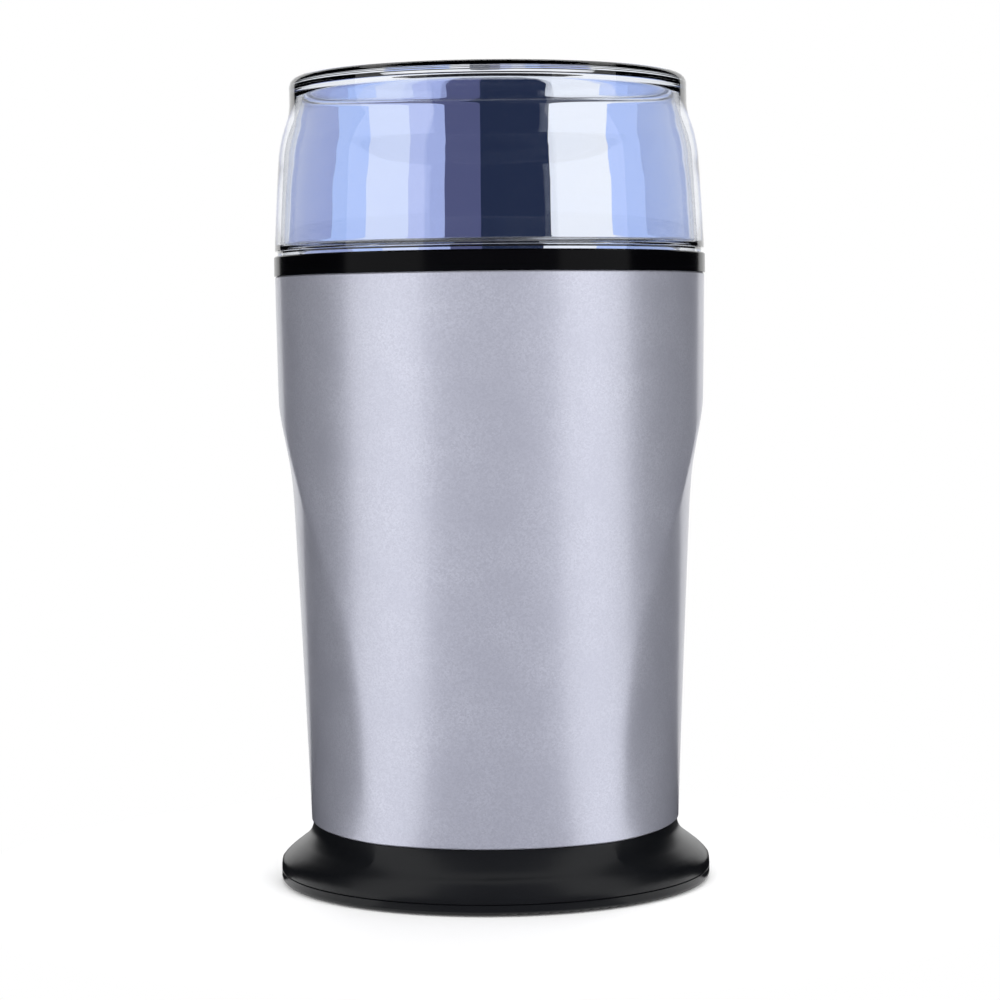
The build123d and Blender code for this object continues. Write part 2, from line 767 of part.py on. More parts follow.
# ------------------------------------------------------------- still motor
with BuildPart() as stator_core:
    with BuildSketch(Plane.XY.offset(stator_bottom_z)):
        Circle(stator_radius)
        Rectangle(stator_flats, stator_flats, mode=Mode.INTERSECT)
        Circle(15.3, mode=Mode.SUBTRACT)
        # Slots beside the two poles, which the coils lie in.
        with Locations((15.5, 0), (-15.5, 0)):
            Rectangle(9.4, 25.6, mode=Mode.SUBTRACT)
        with GridLocations(30.0, 30.0, 2, 2):
            Rectangle(4.6, 5.0, mode=Mode.SUBTRACT)
        with PolarLocations(bolt_circle, 2, start_angle=45):
            Circle(1.45, mode=Mode.SUBTRACT)
    extrude(amount=stator_top_z - stator_bottom_z)
stator_core.part.label = "stator_core"
export_step(stator_core.part, "parts/stator_core.step")

with BuildPart() as field_coils:
    # A flat racetrack coil round each pole, front and back.
    for side in (1, -1):
        with BuildSketch(Plane.XZ.offset(side * 15.0 - 2.2)):
            with Locations((0, 55)):
                RectangleRounded(34.2, 31.6, 5)
                RectangleRounded(25.8, 22.6, 0.25, mode=Mode.SUBTRACT)
        extrude(amount=4.4)
field_coils.part.label = "field_coils"
export_step(field_coils.part, "parts/field_coils.step")


def bracket(rim_z, far_z, boss_far_z, ear_height):
    """Cup-shaped motor bracket from rim_z to far_z, with a bearing boss."""
    way = 1 if far_z > rim_z else -1
    with BuildPart() as cup:
        with BuildSketch(Plane.XY.offset(rim_z)):
            Circle(bracket_radius)
            Circle(bracket_radius - bracket_wall, mode=Mode.SUBTRACT)
        extrude(amount=far_z - rim_z)
        with BuildSketch(Plane.XY.offset(far_z)):
            Circle(bracket_radius)
        extrude(amount=-way * 2.5)
        with BuildSketch(Plane.XY.offset(boss_far_z)):
            Circle(bearing_boss_radius)
        extrude(amount=-way * 9.0)
        with BuildSketch(Plane.XY.offset(rim_z)):
            with PolarLocations(bolt_circle - 1.0, 2, start_angle=45):
                Circle(3.2)
        extrude(amount=way * ear_height)
        with BuildSketch(Plane.XY.offset(rim_z)):
            with PolarLocations(bolt_circle, 2, start_angle=45):
                Circle(1.45)
        extrude(amount=way * (ear_height + 1), mode=Mode.SUBTRACT)
        # Cooling windows in the end wall.
        with BuildSketch(Plane.XY.offset(far_z - way * 3)):
            with PolarLocations(16.5, 4, start_angle=45):
                SlotOverall(15, 9, rotation=90)
        extrude(amount=way * 4, mode=Mode.SUBTRACT)
    return cup.part


upper_shell = bracket(stator_top_z, 84.5, 86.5, 3.5)
with BuildPart() as upper_motor_bracket:
    add(upper_shell)
    with BuildSketch(Plane.XY.offset(84.5)):
        with PolarLocations(damper_circle, 4):
            Circle(3.5)
    extrude(amount=3.4)
    with BuildSketch(Plane.XY.offset(82.0)):
        with PolarLocations(damper_circle, 4):
            Circle(1.35)
    extrude(amount=6, mode=Mode.SUBTRACT)
    with BuildSketch(Plane.XY.offset(77.0)):
        Circle(bearing_seat_radius)
    extrude(amount=7.0, mode=Mode.SUBTRACT)
    with BuildSketch(Plane.XY.offset(76.0)):
        Circle(3.2)
    extrude(amount=12, mode=Mode.SUBTRACT)
upper_motor_bracket.part.label = "upper_motor_bracket"
export_step(upper_motor_bracket.part, "parts/upper_motor_bracket.step")

lower_shell = bracket(stator_bottom_z, 15.5, 14.2, 3.5)
with BuildPart() as lower_motor_bracket:
    add(lower_shell)
    # Windows for the brush holders and for air.
    with BuildSketch(Plane.YZ.offset(-40)):
        with Locations((0, brush_z)):
            Rectangle(8.4, 10.4)
    extrude(amount=80, mode=Mode.SUBTRACT)
    with BuildSketch(Plane.XZ.offset(-40)):
        with Locations((0, brush_z)):
            RectangleRounded(22, 14, 3)
    extrude(amount=80, mode=Mode.SUBTRACT)
    with BuildSketch(Plane.XY.offset(16.8)):
        Circle(bearing_seat_radius)
    extrude(amount=8, mode=Mode.SUBTRACT)
    with BuildSketch(Plane.XY.offset(13)):
        Circle(3.2)
    extrude(amount=12, mode=Mode.SUBTRACT)
lower_motor_bracket.part.label = "lower_motor_bracket"
export_step(lower_motor_bracket.part, "parts/lower_motor_bracket.step")


def bearing(bottom_z, height):
    """Sintered bronze bush with rounded ends."""
    with BuildPart() as bush:
        with BuildSketch(Plane.XY.offset(bottom_z)):
            Circle(bearing_radius)
        extrude(amount=height)
        fillet(bush.edges().filter_by(GeomType.CIRCLE), 1.0)
        with Locations((0, 0, bottom_z + height)):
            Hole(shaft_radius + running_gap)
    return bush.part


upper_bearing = bearing(77.6, 6.2)
upper_bearing.label = "upper_bearing"
export_step(upper_bearing, "parts/upper_bearing.step")

lower_bearing = bearing(16.9, 6.2)
lower_bearing.label = "lower_bearing"
export_step(lower_bearing, "parts/lower_bearing.step")

bolt_spots = [
    (bolt_circle * cos(radians(angle)), bolt_circle * sin(radians(angle))) for angle in (45, 225)
]
motor_bolts = screws(bolt_spots, 2.3, 71.6, 2.0, 1.4, 38.5)
motor_bolts.label = "motor_bolts"
export_step(motor_bolts, "parts/motor_bolts.step")

brush_inner_x = 10.0
brush_outer_x = 29.0
with BuildPart() as brush_holders:
    for side in (1, -1):
        with BuildSketch(Plane.YZ.offset(side * brush_inner_x)):
            with Locations((0, brush_z)):
                Rectangle(8.0, 10.0)
                Rectangle(5.6, 7.6, mode=Mode.SUBTRACT)
        extrude(amount=side * (brush_outer_x - brush_inner_x))
        with BuildSketch(Plane.YZ.offset(side * (brush_outer_x - 1.2))):
            with Locations((0, brush_z)):
                Rectangle(8.0, 10.0)
        extrude(amount=side * 1.2)
brush_holders.part.label = "brush_holders"
export_step(brush_holders.part, "parts/brush_holders.step")

with BuildPart() as carbon_brushes:
    for side in (1, -1):
        with BuildSketch(Plane.YZ.offset(side * 9.3)):
            with Locations((0, brush_z)):
                Rectangle(5.2, 7.2)
        extrude(amount=side * 9.7)
carbon_brushes.part.label = "carbon_brushes"
export_step(carbon_brushes.part, "parts/carbon_brushes.step")

brush_spring = square_spring(1.8, 0.5, 8.0, 5)
brush_springs = Compound(
    children=[
        Location((19.4, 0, brush_z), (0, 90, 0)) * brush_spring,
        Location((-19.4, 0, brush_z), (0, -90, 0)) * brush_spring,
    ]
)
brush_springs.label = "brush_springs"
export_step(brush_springs, "parts/brush_springs.step")

damper_spots = [(damper_circle, 0), (0, damper_circle), (-damper_circle, 0), (0, -damper_circle)]
with BuildPart() as motor_dampers:
    with BuildSketch(Plane.XY.offset(88.0)):
        with Locations(*damper_spots):
            Circle(5.0)
    extrude(amount=frame_plate_z - 88.1)
    with BuildSketch(Plane.XY.offset(90.0)):
        with Locations(*damper_spots):
            Circle(6.0)
            Circle(4.4, mode=Mode.SUBTRACT)
    extrude(amount=1.2, mode=Mode.SUBTRACT)
    with BuildSketch(Plane.XY.offset(87.0)):
        with Locations(*damper_spots):
            Circle(1.6)
    extrude(amount=8, mode=Mode.SUBTRACT)
motor_dampers.part.label = "motor_dampers"
export_step(motor_dampers.part, "parts/motor_dampers.step")

motor_screws = screws(damper_spots, 3.2, 97.7, 1.6, 1.3, 84.0)
motor_screws.label = "motor_screws"
export_step(motor_screws, "parts/motor_screws.step")

# -------------------------------------------------------------- inner frame
cage_inner = cage_radius - cage_wall

with BuildPart() as inner_frame:
    # Top plate with the hub that the bowl is clamped to.
    with BuildSketch(Plane.XY.offset(frame_plate_z)):
        Circle(39.0)
    extrude(amount=frame_plate)
    with BuildSketch(Plane.XY.offset(90.5)):
        Circle(12.5)
    extrude(amount=bowl_floor_z - bowl_wall - 90.6)
    # Wall round the foot of the bowl and the rim that carries the springs.
    with BuildSketch(Plane.XY.offset(frame_plate_z)):
        Circle(39.0)
        Circle(37.0, mode=Mode.SUBTRACT)
    extrude(amount=frame_rim_z - frame_plate_z)
    with BuildSketch(Plane.XY.offset(frame_rim_z - 2.5)):
        Circle(43.1)
        Circle(38.0, mode=Mode.SUBTRACT)
    extrude(amount=2.5)
    # Guide pins for the press ring.
    with BuildSketch(Plane.XY.offset(frame_rim_z)):
        with PolarLocations(guide_circle, 2):
            Circle(1.0)
    extrude(amount=14)
    # Cage round the motor.
    with BuildSketch(Plane.XY.offset(cage_bottom_z)):
        Circle(cage_radius)
        Circle(cage_inner, mode=Mode.SUBTRACT)
    extrude(amount=frame_plate_z - cage_bottom_z)
    with BuildSketch(Plane.XY.offset(frame_foot_z)):
        with Locations(*column_spots):
            Circle(3.2)
    extrude(amount=23)
    # Pads for the switch.
    with BuildSketch(Plane.XZ.offset(-35.0)):
        with Locations((switch_screw_x, switch_screw_z), (-switch_screw_x, switch_screw_z)):
            Circle(2.6)
    extrude(amount=3.0)
    # Pocket for the capacitor at the front.
    with BuildSketch(Plane.XZ.offset(33.0)):
        with Locations((0, capacitor_z)):
            Rectangle(21.6, 15.6)
            Rectangle(18.6, 12.6, mode=Mode.SUBTRACT)
    extrude(amount=5.0)
    # Windows between the pillars.
    with BuildSketch(Plane.XY.offset(40.0)):
        with PolarLocations(34, 4, start_angle=45):
            Rectangle(12, 24)
    extrude(amount=46.0, mode=Mode.SUBTRACT)
    # Holes: bowl sleeve, motor screws, frame screws, switch screws.
    with BuildSketch(Plane.XY.offset(89.0)):
        Circle(6.45)
    extrude(amount=12, mode=Mode.SUBTRACT)
    with BuildSketch(Plane.XY.offset(frame_plate_z - 1)):
        with Locations(*damper_spots):
            Circle(1.6)
    extrude(amount=5, mode=Mode.SUBTRACT)
    with BuildSketch(Plane.XY.offset(frame_foot_z)):
        with Locations(*column_spots):
            Circle(1.5)
    extrude(amount=12, mode=Mode.SUBTRACT)
    with BuildSketch(Plane.XZ.offset(-36.0)):
        with Locations((switch_screw_x, switch_screw_z), (-switch_screw_x, switch_screw_z)):
            Circle(1.1)
    extrude(amount=6.0, mode=Mode.SUBTRACT)
    # Notch in the rim for the press ring's leg.
    with BuildSketch(Plane.XY.offset(frame_rim_z - 4)):
        with Locations((leg_x, 42)):
            Rectangle(9, 5)
    extrude(amount=6, mode=Mode.SUBTRACT)
inner_frame.part.label = "inner_frame"
export_step(inner_frame.part, "parts/inner_frame.step")

# --------------------------------------------------------------- press ring
press_posts = ring_sector(42.7, 41.0, lug_width, press_ring_top_z - 1, post_top_z)
lever_top_z = 68.5
foot_bottom_z = lever_top_z + slip

with BuildPart() as press_ring:
    with BuildSketch(Plane.XY.offset(press_ring_bottom_z)):
        Circle(43.8)
        Circle(39.4, mode=Mode.SUBTRACT)
        with PolarLocations(guide_circle, 2):
            Circle(1.25, mode=Mode.SUBTRACT)
    extrude(amount=press_ring_top_z - press_ring_bottom_z)
    add(press_posts)
    # Leg at the back that reaches down to the switch.
    with BuildSketch(Plane.XY.offset(foot_bottom_z)):
        with Locations((leg_x, 41.3)):
            Rectangle(5.6, 1.8)
    extrude(amount=press_ring_top_z - 0.5 - foot_bottom_z)
    with BuildSketch(Plane.XY.offset(foot_bottom_z)):
        with Locations((leg_x, 39.6)):
            Rectangle(3.0, 5.2)
    extrude(amount=2.5)
press_ring.part.label = "press_ring"
export_step(press_ring.part, "parts/press_ring.step")

return_spring = square_spring(1.6, 0.5, press_ring_bottom_z - frame_rim_z - 0.9, 5)
return_springs = Compound(
    children=[
        Location((guide_circle, 0, frame_rim_z + 0.4)) * return_spring,
        Location((-guide_circle, 0, frame_rim_z + 0.4)) * return_spring,
    ]
)
return_springs.label = "return_springs"
export_step(return_springs, "parts/return_springs.step")

# ------------------------------------------------------------------- switch
ear_y = switch_depth / 2 - 0.4
barrel_half = ear_y - 0.55
with BuildPart() as switch_body:
    with BuildSketch(Plane.XY.offset(switch_bottom_z)):
        Rectangle(switch_length, switch_depth)
    extrude(amount=switch_top_z - switch_bottom_z)
    chamfer(switch_body.edges().filter_by(Axis.Y), 0.5)
    # Ears that hold the lever's pivot.
    with BuildSketch(Plane.XY.offset(switch_top_z - 0.2)):
        with Locations((lever_pivot_x, ear_y), (lever_pivot_x, -ear_y)):
            Rectangle(2.6, 0.8)
    extrude(amount=2.6)
    with BuildSketch(Plane.XZ.offset(-10)):
        with Locations((lever_pivot_x, lever_pivot_z)):
            Circle(0.65)
    extrude(amount=20, mode=Mode.SUBTRACT)
    with BuildSketch(Plane.XZ.offset(-10)):
        with Locations((switch_screw_x, switch_screw_z), (-switch_screw_x, switch_screw_z)):
            Circle(1.15)
    extrude(amount=20, mode=Mode.SUBTRACT)
    # Well for the button.
    with BuildSketch(Plane.XY.offset(switch_top_z - 2.4)):
        with Locations((lever_pivot_x + button_arm, 0)):
            Circle(1.3)
    extrude(amount=4, mode=Mode.SUBTRACT)
switch_body.part.position = (0, switch_y, 0)
switch_body.part.label = "switch_body"
export_step(switch_body.part, "parts/switch_body.step")

with BuildPart() as switch_button:
    with BuildSketch(Plane.XY.offset(switch_top_z - 1.6)):
        with Locations((lever_pivot_x + button_arm, 0)):
            Circle(1.2)
    extrude(amount=3.0)
    fillet(switch_button.faces().sort_by(Axis.Z)[-1].edges(), 0.5)
switch_button.part.position = (0, switch_y, 0)
switch_button.part.label = "switch_button"
export_step(switch_button.part, "parts/switch_button.step")

with BuildPart() as switch_lever:
    with BuildSketch(Plane.XZ.offset(-barrel_half)):
        with Locations((lever_pivot_x, lever_pivot_z)):
            Circle(1.1)
    extrude(amount=2 * barrel_half)
    with BuildSketch(Plane.XZ.offset(-switch_depth / 2)):
        with Locations((lever_pivot_x, lever_pivot_z)):
            Circle(0.6)
    extrude(amount=switch_depth)
    with BuildSketch(Plane.XY.offset(lever_top_z - 0.5)):
        with Locations((0, 0)):
            Rectangle(16, 3.6)
    extrude(amount=0.5)
switch_lever.part.position = (0, switch_y, 0)
switch_lever.part.label = "switch_lever"
export_step(switch_lever.part, "parts/switch_lever.step")

with BuildPart() as switch_terminals:
    with BuildSketch(Plane.XY.offset(switch_bottom_z - 6.5)):
        with Locations((-8, 0), (0, 0), (8, 0)):
            Rectangle(0.6, 4.4)
    extrude(amount=6.5)
switch_terminals.part.position = (0, switch_y, 0)
switch_terminals.part.label = "switch_terminals"
export_step(switch_terminals.part, "parts/switch_terminals.step")

switch_screw_spots = [(switch_screw_x, -switch_screw_z), (-switch_screw_x, -switch_screw_z)]
switch_screw = screws(switch_screw_spots, 1.9, 42.7, 1.2, 1.05, 34.0)
switch_screws = Location((0, 0, 0), (-90, 0, 0)) * switch_screw
switch_screws.label = "switch_screws"
export_step(switch_screws, "parts/switch_screws.step")

with BuildPart() as suppression_capacitor:
    with BuildSketch(Plane.XZ.offset(34.0)):
        with Locations((0, capacitor_z)):
            RectangleRounded(18.0, 12.0, 1)
    extrude(amount=6.0)
    with BuildSketch(Plane.XY.offset(47.0)):
        with Locations((7.5, -39.2), (-7.5, -39.2)):
            Circle(0.4)
    extrude(amount=8)
suppression_capacitor.part.label = "suppression_capacitor"
export_step(suppression_capacitor.part, "parts/suppression_capacitor.step")
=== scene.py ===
"""Electric spice grinder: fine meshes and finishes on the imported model."""

import json
import logging
import math
from dataclasses import dataclass, field
from enum import Enum
from typing import ClassVar

import bmesh
import bpy
from mathutils import Matrix, Vector

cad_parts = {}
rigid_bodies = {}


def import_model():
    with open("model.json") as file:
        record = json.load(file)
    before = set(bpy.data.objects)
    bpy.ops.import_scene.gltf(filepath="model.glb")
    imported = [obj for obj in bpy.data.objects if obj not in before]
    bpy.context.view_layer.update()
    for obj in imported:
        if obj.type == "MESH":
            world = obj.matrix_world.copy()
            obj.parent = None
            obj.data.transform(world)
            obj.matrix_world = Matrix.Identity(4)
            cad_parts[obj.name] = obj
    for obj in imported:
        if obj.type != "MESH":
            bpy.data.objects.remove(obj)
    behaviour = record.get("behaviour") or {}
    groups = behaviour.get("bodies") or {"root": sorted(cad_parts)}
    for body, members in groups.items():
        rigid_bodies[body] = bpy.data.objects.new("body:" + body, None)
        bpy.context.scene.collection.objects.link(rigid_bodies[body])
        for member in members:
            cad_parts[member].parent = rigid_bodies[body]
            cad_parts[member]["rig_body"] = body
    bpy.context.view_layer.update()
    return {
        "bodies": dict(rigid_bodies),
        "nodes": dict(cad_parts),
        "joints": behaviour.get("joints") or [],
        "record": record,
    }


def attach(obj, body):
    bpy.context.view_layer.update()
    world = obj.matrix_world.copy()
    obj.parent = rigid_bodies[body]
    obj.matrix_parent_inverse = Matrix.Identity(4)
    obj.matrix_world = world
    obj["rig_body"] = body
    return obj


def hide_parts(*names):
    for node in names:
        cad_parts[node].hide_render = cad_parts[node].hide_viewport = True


MM = 0.001
Spot = tuple[float, float]
Outline = list[Spot]
Point = tuple[float, float, float]
Feed = float | bpy.types.Node | bpy.types.NodeSocket
log = logging.getLogger("grinder")

# Share of the length along a grain line that counts, so that lines come out long and thin.
TURNED_STRETCH = 0.0012
DRAWN_STRETCH = 0.04
# Blotches of about 11 mm that keep a finish from looking even.
CLOUD_SCALE = 90.0
# Highest value that grain times blotches reaches often.
BLEND_TOP = 0.6
COAT_ROUGHNESS = 0.12
# Metres under which vertices are merged, in meshes made here and in copies of solids.
MERGE = 1e-7
SOLID_MERGE = 2e-6


# --------------------------------------------------------------- node helpers
def linear(code: str) -> tuple[float, float, float, float]:
    """Turns an sRGB hex colour into linear values.

    Args:
        code: colour as "#RRGGBB".

    Returns:
        Linear red, green, blue and an alpha of 1.
    """
    parts = [int(code[i : i + 2], 16) / 255 for i in (1, 3, 5)]
    return (*(c / 12.92 if c <= 0.04045 else ((c + 0.055) / 1.055) ** 2.4 for c in parts), 1.0)


def add_node(
    tree: bpy.types.NodeTree, kind: str, sockets: dict | tuple = (), **settings: object
) -> bpy.types.Node:
    """Adds one node with its settings, socket values and links.

    Args:
        tree: node tree to add to.
        kind: type of the node.
        sockets: inputs by name or number, or a tuple of them in order. Each is a value, an output socket,
            a node whose first output feeds it, or a list of nodes.
        settings: properties of the node.

    Returns:
        The new node.
    """
    made = tree.nodes.new(kind)
    for name, value in settings.items():
        setattr(made, name, value)
    for key, given in sockets.items() if isinstance(sockets, dict) else enumerate(sockets):
        for value in given if isinstance(given, list) else [given]:
            source = value.outputs[0] if isinstance(value, bpy.types.Node) else value
            if isinstance(source, bpy.types.NodeSocket):
                tree.links.new(source, made.inputs[key])
            else:
                made.inputs[key].default_value = source
    return made


def new_material(name: str) -> bpy.types.Material:
    """Adds a material with an empty node tree.

    Args:
        name: name of the material.

    Returns:
        The new material.
    """
    made = bpy.data.materials.new(name)
    made.use_nodes = True
    made.node_tree.nodes.clear()
    return made


class Grain(Enum):
    """What the surface is covered with."""

    MOULDED = "moulded"
    SPARKLE = "sparkle"
    TURNED = "turned"
    DRAWN = "drawn"
    CAST = "cast"
    STACKED = "stacked"
    WOUND = "wound"
    POLISHED = "polished"


@dataclass(frozen=True)
class Finish:
    """One material, from its real finish and its grain in millimetres."""

    name: str
    colour: str
    second: str
    roughness: float
    grain: Grain
    grain_mm: float
    relief_mm: float
    metallic: float = 0.0
    ior: float = 1.5
    spread: float = 0.08
    coat: float = 0.0
    transmission: float = 0.0
    specular: float = 0.5

    def field_of(self, tree: bpy.types.NodeTree) -> bpy.types.Node:
        """Builds the grain as a value from 0 to 1.

        Args:
            tree: node tree of the material.

        Returns:
            The node whose first output is the grain.
        """
        place = add_node(tree, "ShaderNodeTexCoord").outputs["Object"]
        per_metre = 1 / (self.grain_mm * MM)
        if self.grain in (Grain.MOULDED, Grain.CAST, Grain.POLISHED):
            look = {"Vector": place, "Scale": per_metre, "Detail": 2.0, "Roughness": 0.6}
            return add_node(tree, "ShaderNodeTexNoise", look)
        if self.grain is Grain.SPARKLE:
            cells = add_node(tree, "ShaderNodeTexVoronoi", {"Vector": place, "Scale": per_metre})
            return add_node(tree, "ShaderNodeSeparateColor", (cells.outputs["Color"],))
        x, y, z = add_node(tree, "ShaderNodeSeparateXYZ", (place,)).outputs
        squared = add_node(tree, "ShaderNodeMath", (x, x), operation="MULTIPLY")
        squared = add_node(tree, "ShaderNodeMath", (y, y, squared), operation="MULTIPLY_ADD")
        radius = add_node(tree, "ShaderNodeMath", (squared,), operation="SQRT")
        if self.grain in (Grain.TURNED, Grain.DRAWN):
            if self.grain is Grain.TURNED:
                # Lines run round the axis, so they are short across and long along.
                angle = add_node(tree, "ShaderNodeMath", (y, x), operation="ARCTAN2")
                slow = add_node(tree, "ShaderNodeMath", (angle, TURNED_STRETCH), operation="MULTIPLY")
                line = add_node(tree, "ShaderNodeCombineXYZ", (radius, z, slow))
            else:
                slow = add_node(tree, "ShaderNodeMath", (z, DRAWN_STRETCH), operation="MULTIPLY")
                line = add_node(tree, "ShaderNodeCombineXYZ", (x, y, slow))
            return add_node(tree, "ShaderNodeTexNoise", {"Vector": line, "Scale": per_metre, "Detail": 3.0})
        along = z if self.grain is Grain.STACKED else radius
        turn = add_node(tree, "ShaderNodeMath", (along, per_metre * 2 * math.pi), operation="MULTIPLY")
        wave = add_node(tree, "ShaderNodeMath", (turn,), operation="SINE")
        return add_node(tree, "ShaderNodeMapRange", {"Value": wave, "From Min": -1.0, "From Max": 1.0})

    def material(self) -> bpy.types.Material:
        """Makes the material once and returns it.

        Returns:
            The finished node material.
        """
        if self.name in bpy.data.materials:
            return bpy.data.materials[self.name]
        made = new_material(self.name)
        tree = made.node_tree
        grain = self.field_of(tree)
        place = add_node(tree, "ShaderNodeTexCoord").outputs["Object"]
        cloud = add_node(tree, "ShaderNodeTexNoise", {"Vector": place, "Scale": CLOUD_SCALE, "Detail": 3.0})
        blend = add_node(tree, "ShaderNodeMath", (cloud, grain), operation="MULTIPLY")
        colours = {"Factor": blend, 6: linear(self.colour), 7: linear(self.second)}
        tint = add_node(tree, "ShaderNodeMix", colours, data_type="RGBA").outputs[2]
        low, high = max(self.roughness - self.spread / 2, 0.0), self.roughness + self.spread / 2
        levels = {"Value": blend, "From Max": BLEND_TOP, "To Min": low, "To Max": high}
        relief = {"Height": grain, "Distance": self.relief_mm * MM, "Strength": 1.0}
        look = {
            "Base Color": tint,
            "Roughness": add_node(tree, "ShaderNodeMapRange", levels),
            "Normal": add_node(tree, "ShaderNodeBump", relief),
            "Metallic": self.metallic,
            "IOR": self.ior,
            "Transmission Weight": self.transmission,
            "Coat Weight": self.coat,
            "Coat Roughness": COAT_ROUGHNESS,
            "Specular IOR Level": self.specular,
        }
        shader = add_node(tree, "ShaderNodeBsdfPrincipled", look)
        add_node(tree, "ShaderNodeOutputMaterial", {"Surface": shader})
        return made


# Clear SAN, injection moulded in a polished tool: sharp refraction, faint blue, hardly any texture.
CLEAR_SAN = Finish(
    "clear_san_polished", "#F6F9FF", "#F0F5FF", 0.008, Grain.POLISHED, 9.0, 0.001, ior=1.57, spread=0.008,
    transmission=1.0,
)
# Black ABS from a polished tool: deep black with a sharp, weak reflection.
GLOSS_ABS = Finish(
    "black_abs_polished", "#020203", "#040405", 0.14, Grain.POLISHED, 1.2, 0.0006, spread=0.03, specular=0.1
)
# Silver paint with aluminium flake on ABS: soft metal glow with a fine sparkle. Flakes are drawn 0.3 mm
# across, coarser than real ones, so that they show.
SILVER_PAINT = Finish(
    "silver_flake_paint", "#B4B6C5", "#CDCFDC", 0.34, Grain.SPARKLE, 0.30, 0.004, metallic=0.70, coat=0.45
)
# Black ABS with a satin tool finish: soft sheen over a very fine texture.
SATIN_ABS = Finish("black_abs_satin", "#090A0C", "#0F1013", 0.30, Grain.MOULDED, 0.25, 0.003, specular=0.3)
# Vulcanised nitrile rubber: dull, slightly dusty black.
NITRILE = Finish("nitrile_rubber", "#161616", "#2A2A29", 0.75, Grain.MOULDED, 0.5, 0.02, ior=1.52)
# Translucent silicone: milky, soft highlight.
SILICONE = Finish("milky_silicone", "#E4E4DF", "#D2D2CC", 0.42, Grain.MOULDED, 1.0, 0.008, ior=1.41)
# Stainless steel, deep drawn and polished on a spindle: fine lines round the axis.
SPUN_STEEL = Finish(
    "spun_stainless", "#C2C2C2", "#DADADA", 0.24, Grain.TURNED, 0.22, 0.0015, metallic=1.0, spread=0.12
)
# Ground stainless blade: straight fine scratches.
GROUND_STEEL = Finish("ground_stainless", "#C8C9CA", "#E2E2E2", 0.22, Grain.DRAWN, 0.18, 0.001, metallic=1.0)
# Zinc-plated steel: bluish grey, slightly cloudy.
ZINC_STEEL = Finish(
    "zinc_plated_steel", "#A9ACB2", "#C9CBCF", 0.32, Grain.MOULDED, 0.8, 0.002, metallic=1.0, spread=0.16
)
# Brass turned on a lathe: warm yellow with feed lines.
TURNED_BRASS = Finish("turned_brass", "#C9A357", "#E2C57E", 0.26, Grain.TURNED, 0.18, 0.002, metallic=1.0)
# Sintered bronze soaked with oil: porous and dark.
SINTER_BRONZE = Finish(
    "sintered_bronze", "#8A6238", "#B98A55", 0.48, Grain.CAST, 0.30, 0.02, metallic=1.0, spread=0.2
)
# Enamelled copper wire laid in rows: 0.4 mm wires under varnish.
COPPER_WIRE = Finish(
    "enamelled_copper", "#9A4F2A", "#D08656", 0.30, Grain.WOUND, 0.45, 0.12, metallic=0.85, coat=0.5
)
# The same enamel on wires that are modelled one by one.
COPPER_LOOP = Finish(
    "enamelled_copper_loops", "#A45730", "#CF8352", 0.28, Grain.DRAWN, 0.3, 0.002, metallic=0.85, coat=0.5
)
# Copper bars turned true: bright, with brush tracks.
COPPER_BAR = Finish("turned_copper", "#B87048", "#DB9A72", 0.28, Grain.STACKED, 0.35, 0.008, metallic=1.0)
# Stacked electrical steel: bluish-grey sheets with dull cut edges.
SHEET_STEEL = Finish(
    "electrical_sheet_steel", "#5A5D64", "#84878F", 0.42, Grain.CAST, 0.4, 0.006, metallic=0.9, spread=0.14
)
# Die-cast aluminium: pale grey, slightly pitted skin.
CAST_ALLOY = Finish(
    "cast_aluminium", "#A9ABAE", "#C4C6C9", 0.46, Grain.CAST, 0.7, 0.03, metallic=1.0, spread=0.14
)
# Pressed carbon: black with a graphite sheen.
CARBON = Finish("pressed_carbon", "#1A1A1B", "#3A3A3C", 0.50, Grain.CAST, 0.2, 0.01, metallic=0.3)
# Glass-filled nylon, grey: flow marks and a rough skin.
GREY_NYLON = Finish("glass_filled_nylon", "#54575C", "#6A6D72", 0.55, Grain.MOULDED, 0.6, 0.02, ior=1.53)
# Black acetal: dull slippery black.
ACETAL = Finish("black_acetal", "#1A1A1B", "#242425", 0.45, Grain.MOULDED, 0.4, 0.008, ior=1.48)
# Red PBT push button.
RED_PBT = Finish("red_pbt", "#A3211B", "#B8342C", 0.4, Grain.MOULDED, 0.3, 0.004, ior=1.57)
# Yellow capacitor case in flame-proof plastic, glossy.
YELLOW_CASE = Finish(
    "yellow_capacitor_case", "#D1A93A", "#DDB955", 0.28, Grain.POLISHED, 1.0, 0.003, ior=1.55
)


# --------------------------------------------------------------- mesh helpers
def arc(start: Spot, through: Spot, end: Spot, steps: int) -> Outline:
    """Points on the arc through three points, without the first.

    Args:
        start: radius and height where the arc begins.
        through: a point on it.
        end: where it ends.
        steps: number of points.

    Returns:
        The points in order.
    """
    (ax, ay), (bx, by), (cx, cy) = start, through, end
    d = 2 * (ax * (by - cy) + bx * (cy - ay) + cx * (ay - by))
    a2, b2, c2 = ax * ax + ay * ay, bx * bx + by * by, cx * cx + cy * cy
    ux = (a2 * (by - cy) + b2 * (cy - ay) + c2 * (ay - by)) / d
    uy = (a2 * (cx - bx) + b2 * (ax - cx) + c2 * (bx - ax)) / d
    radius = math.hypot(ax - ux, ay - uy)
    first, last = math.atan2(ay - uy, ax - ux), math.atan2(cy - uy, cx - ux)
    turn = (last - first + math.pi) % (2 * math.pi) - math.pi
    return [
        (ux + radius * math.cos(first + turn * i / steps), uy + radius * math.sin(first + turn * i / steps))
        for i in range(1, steps + 1)
    ]


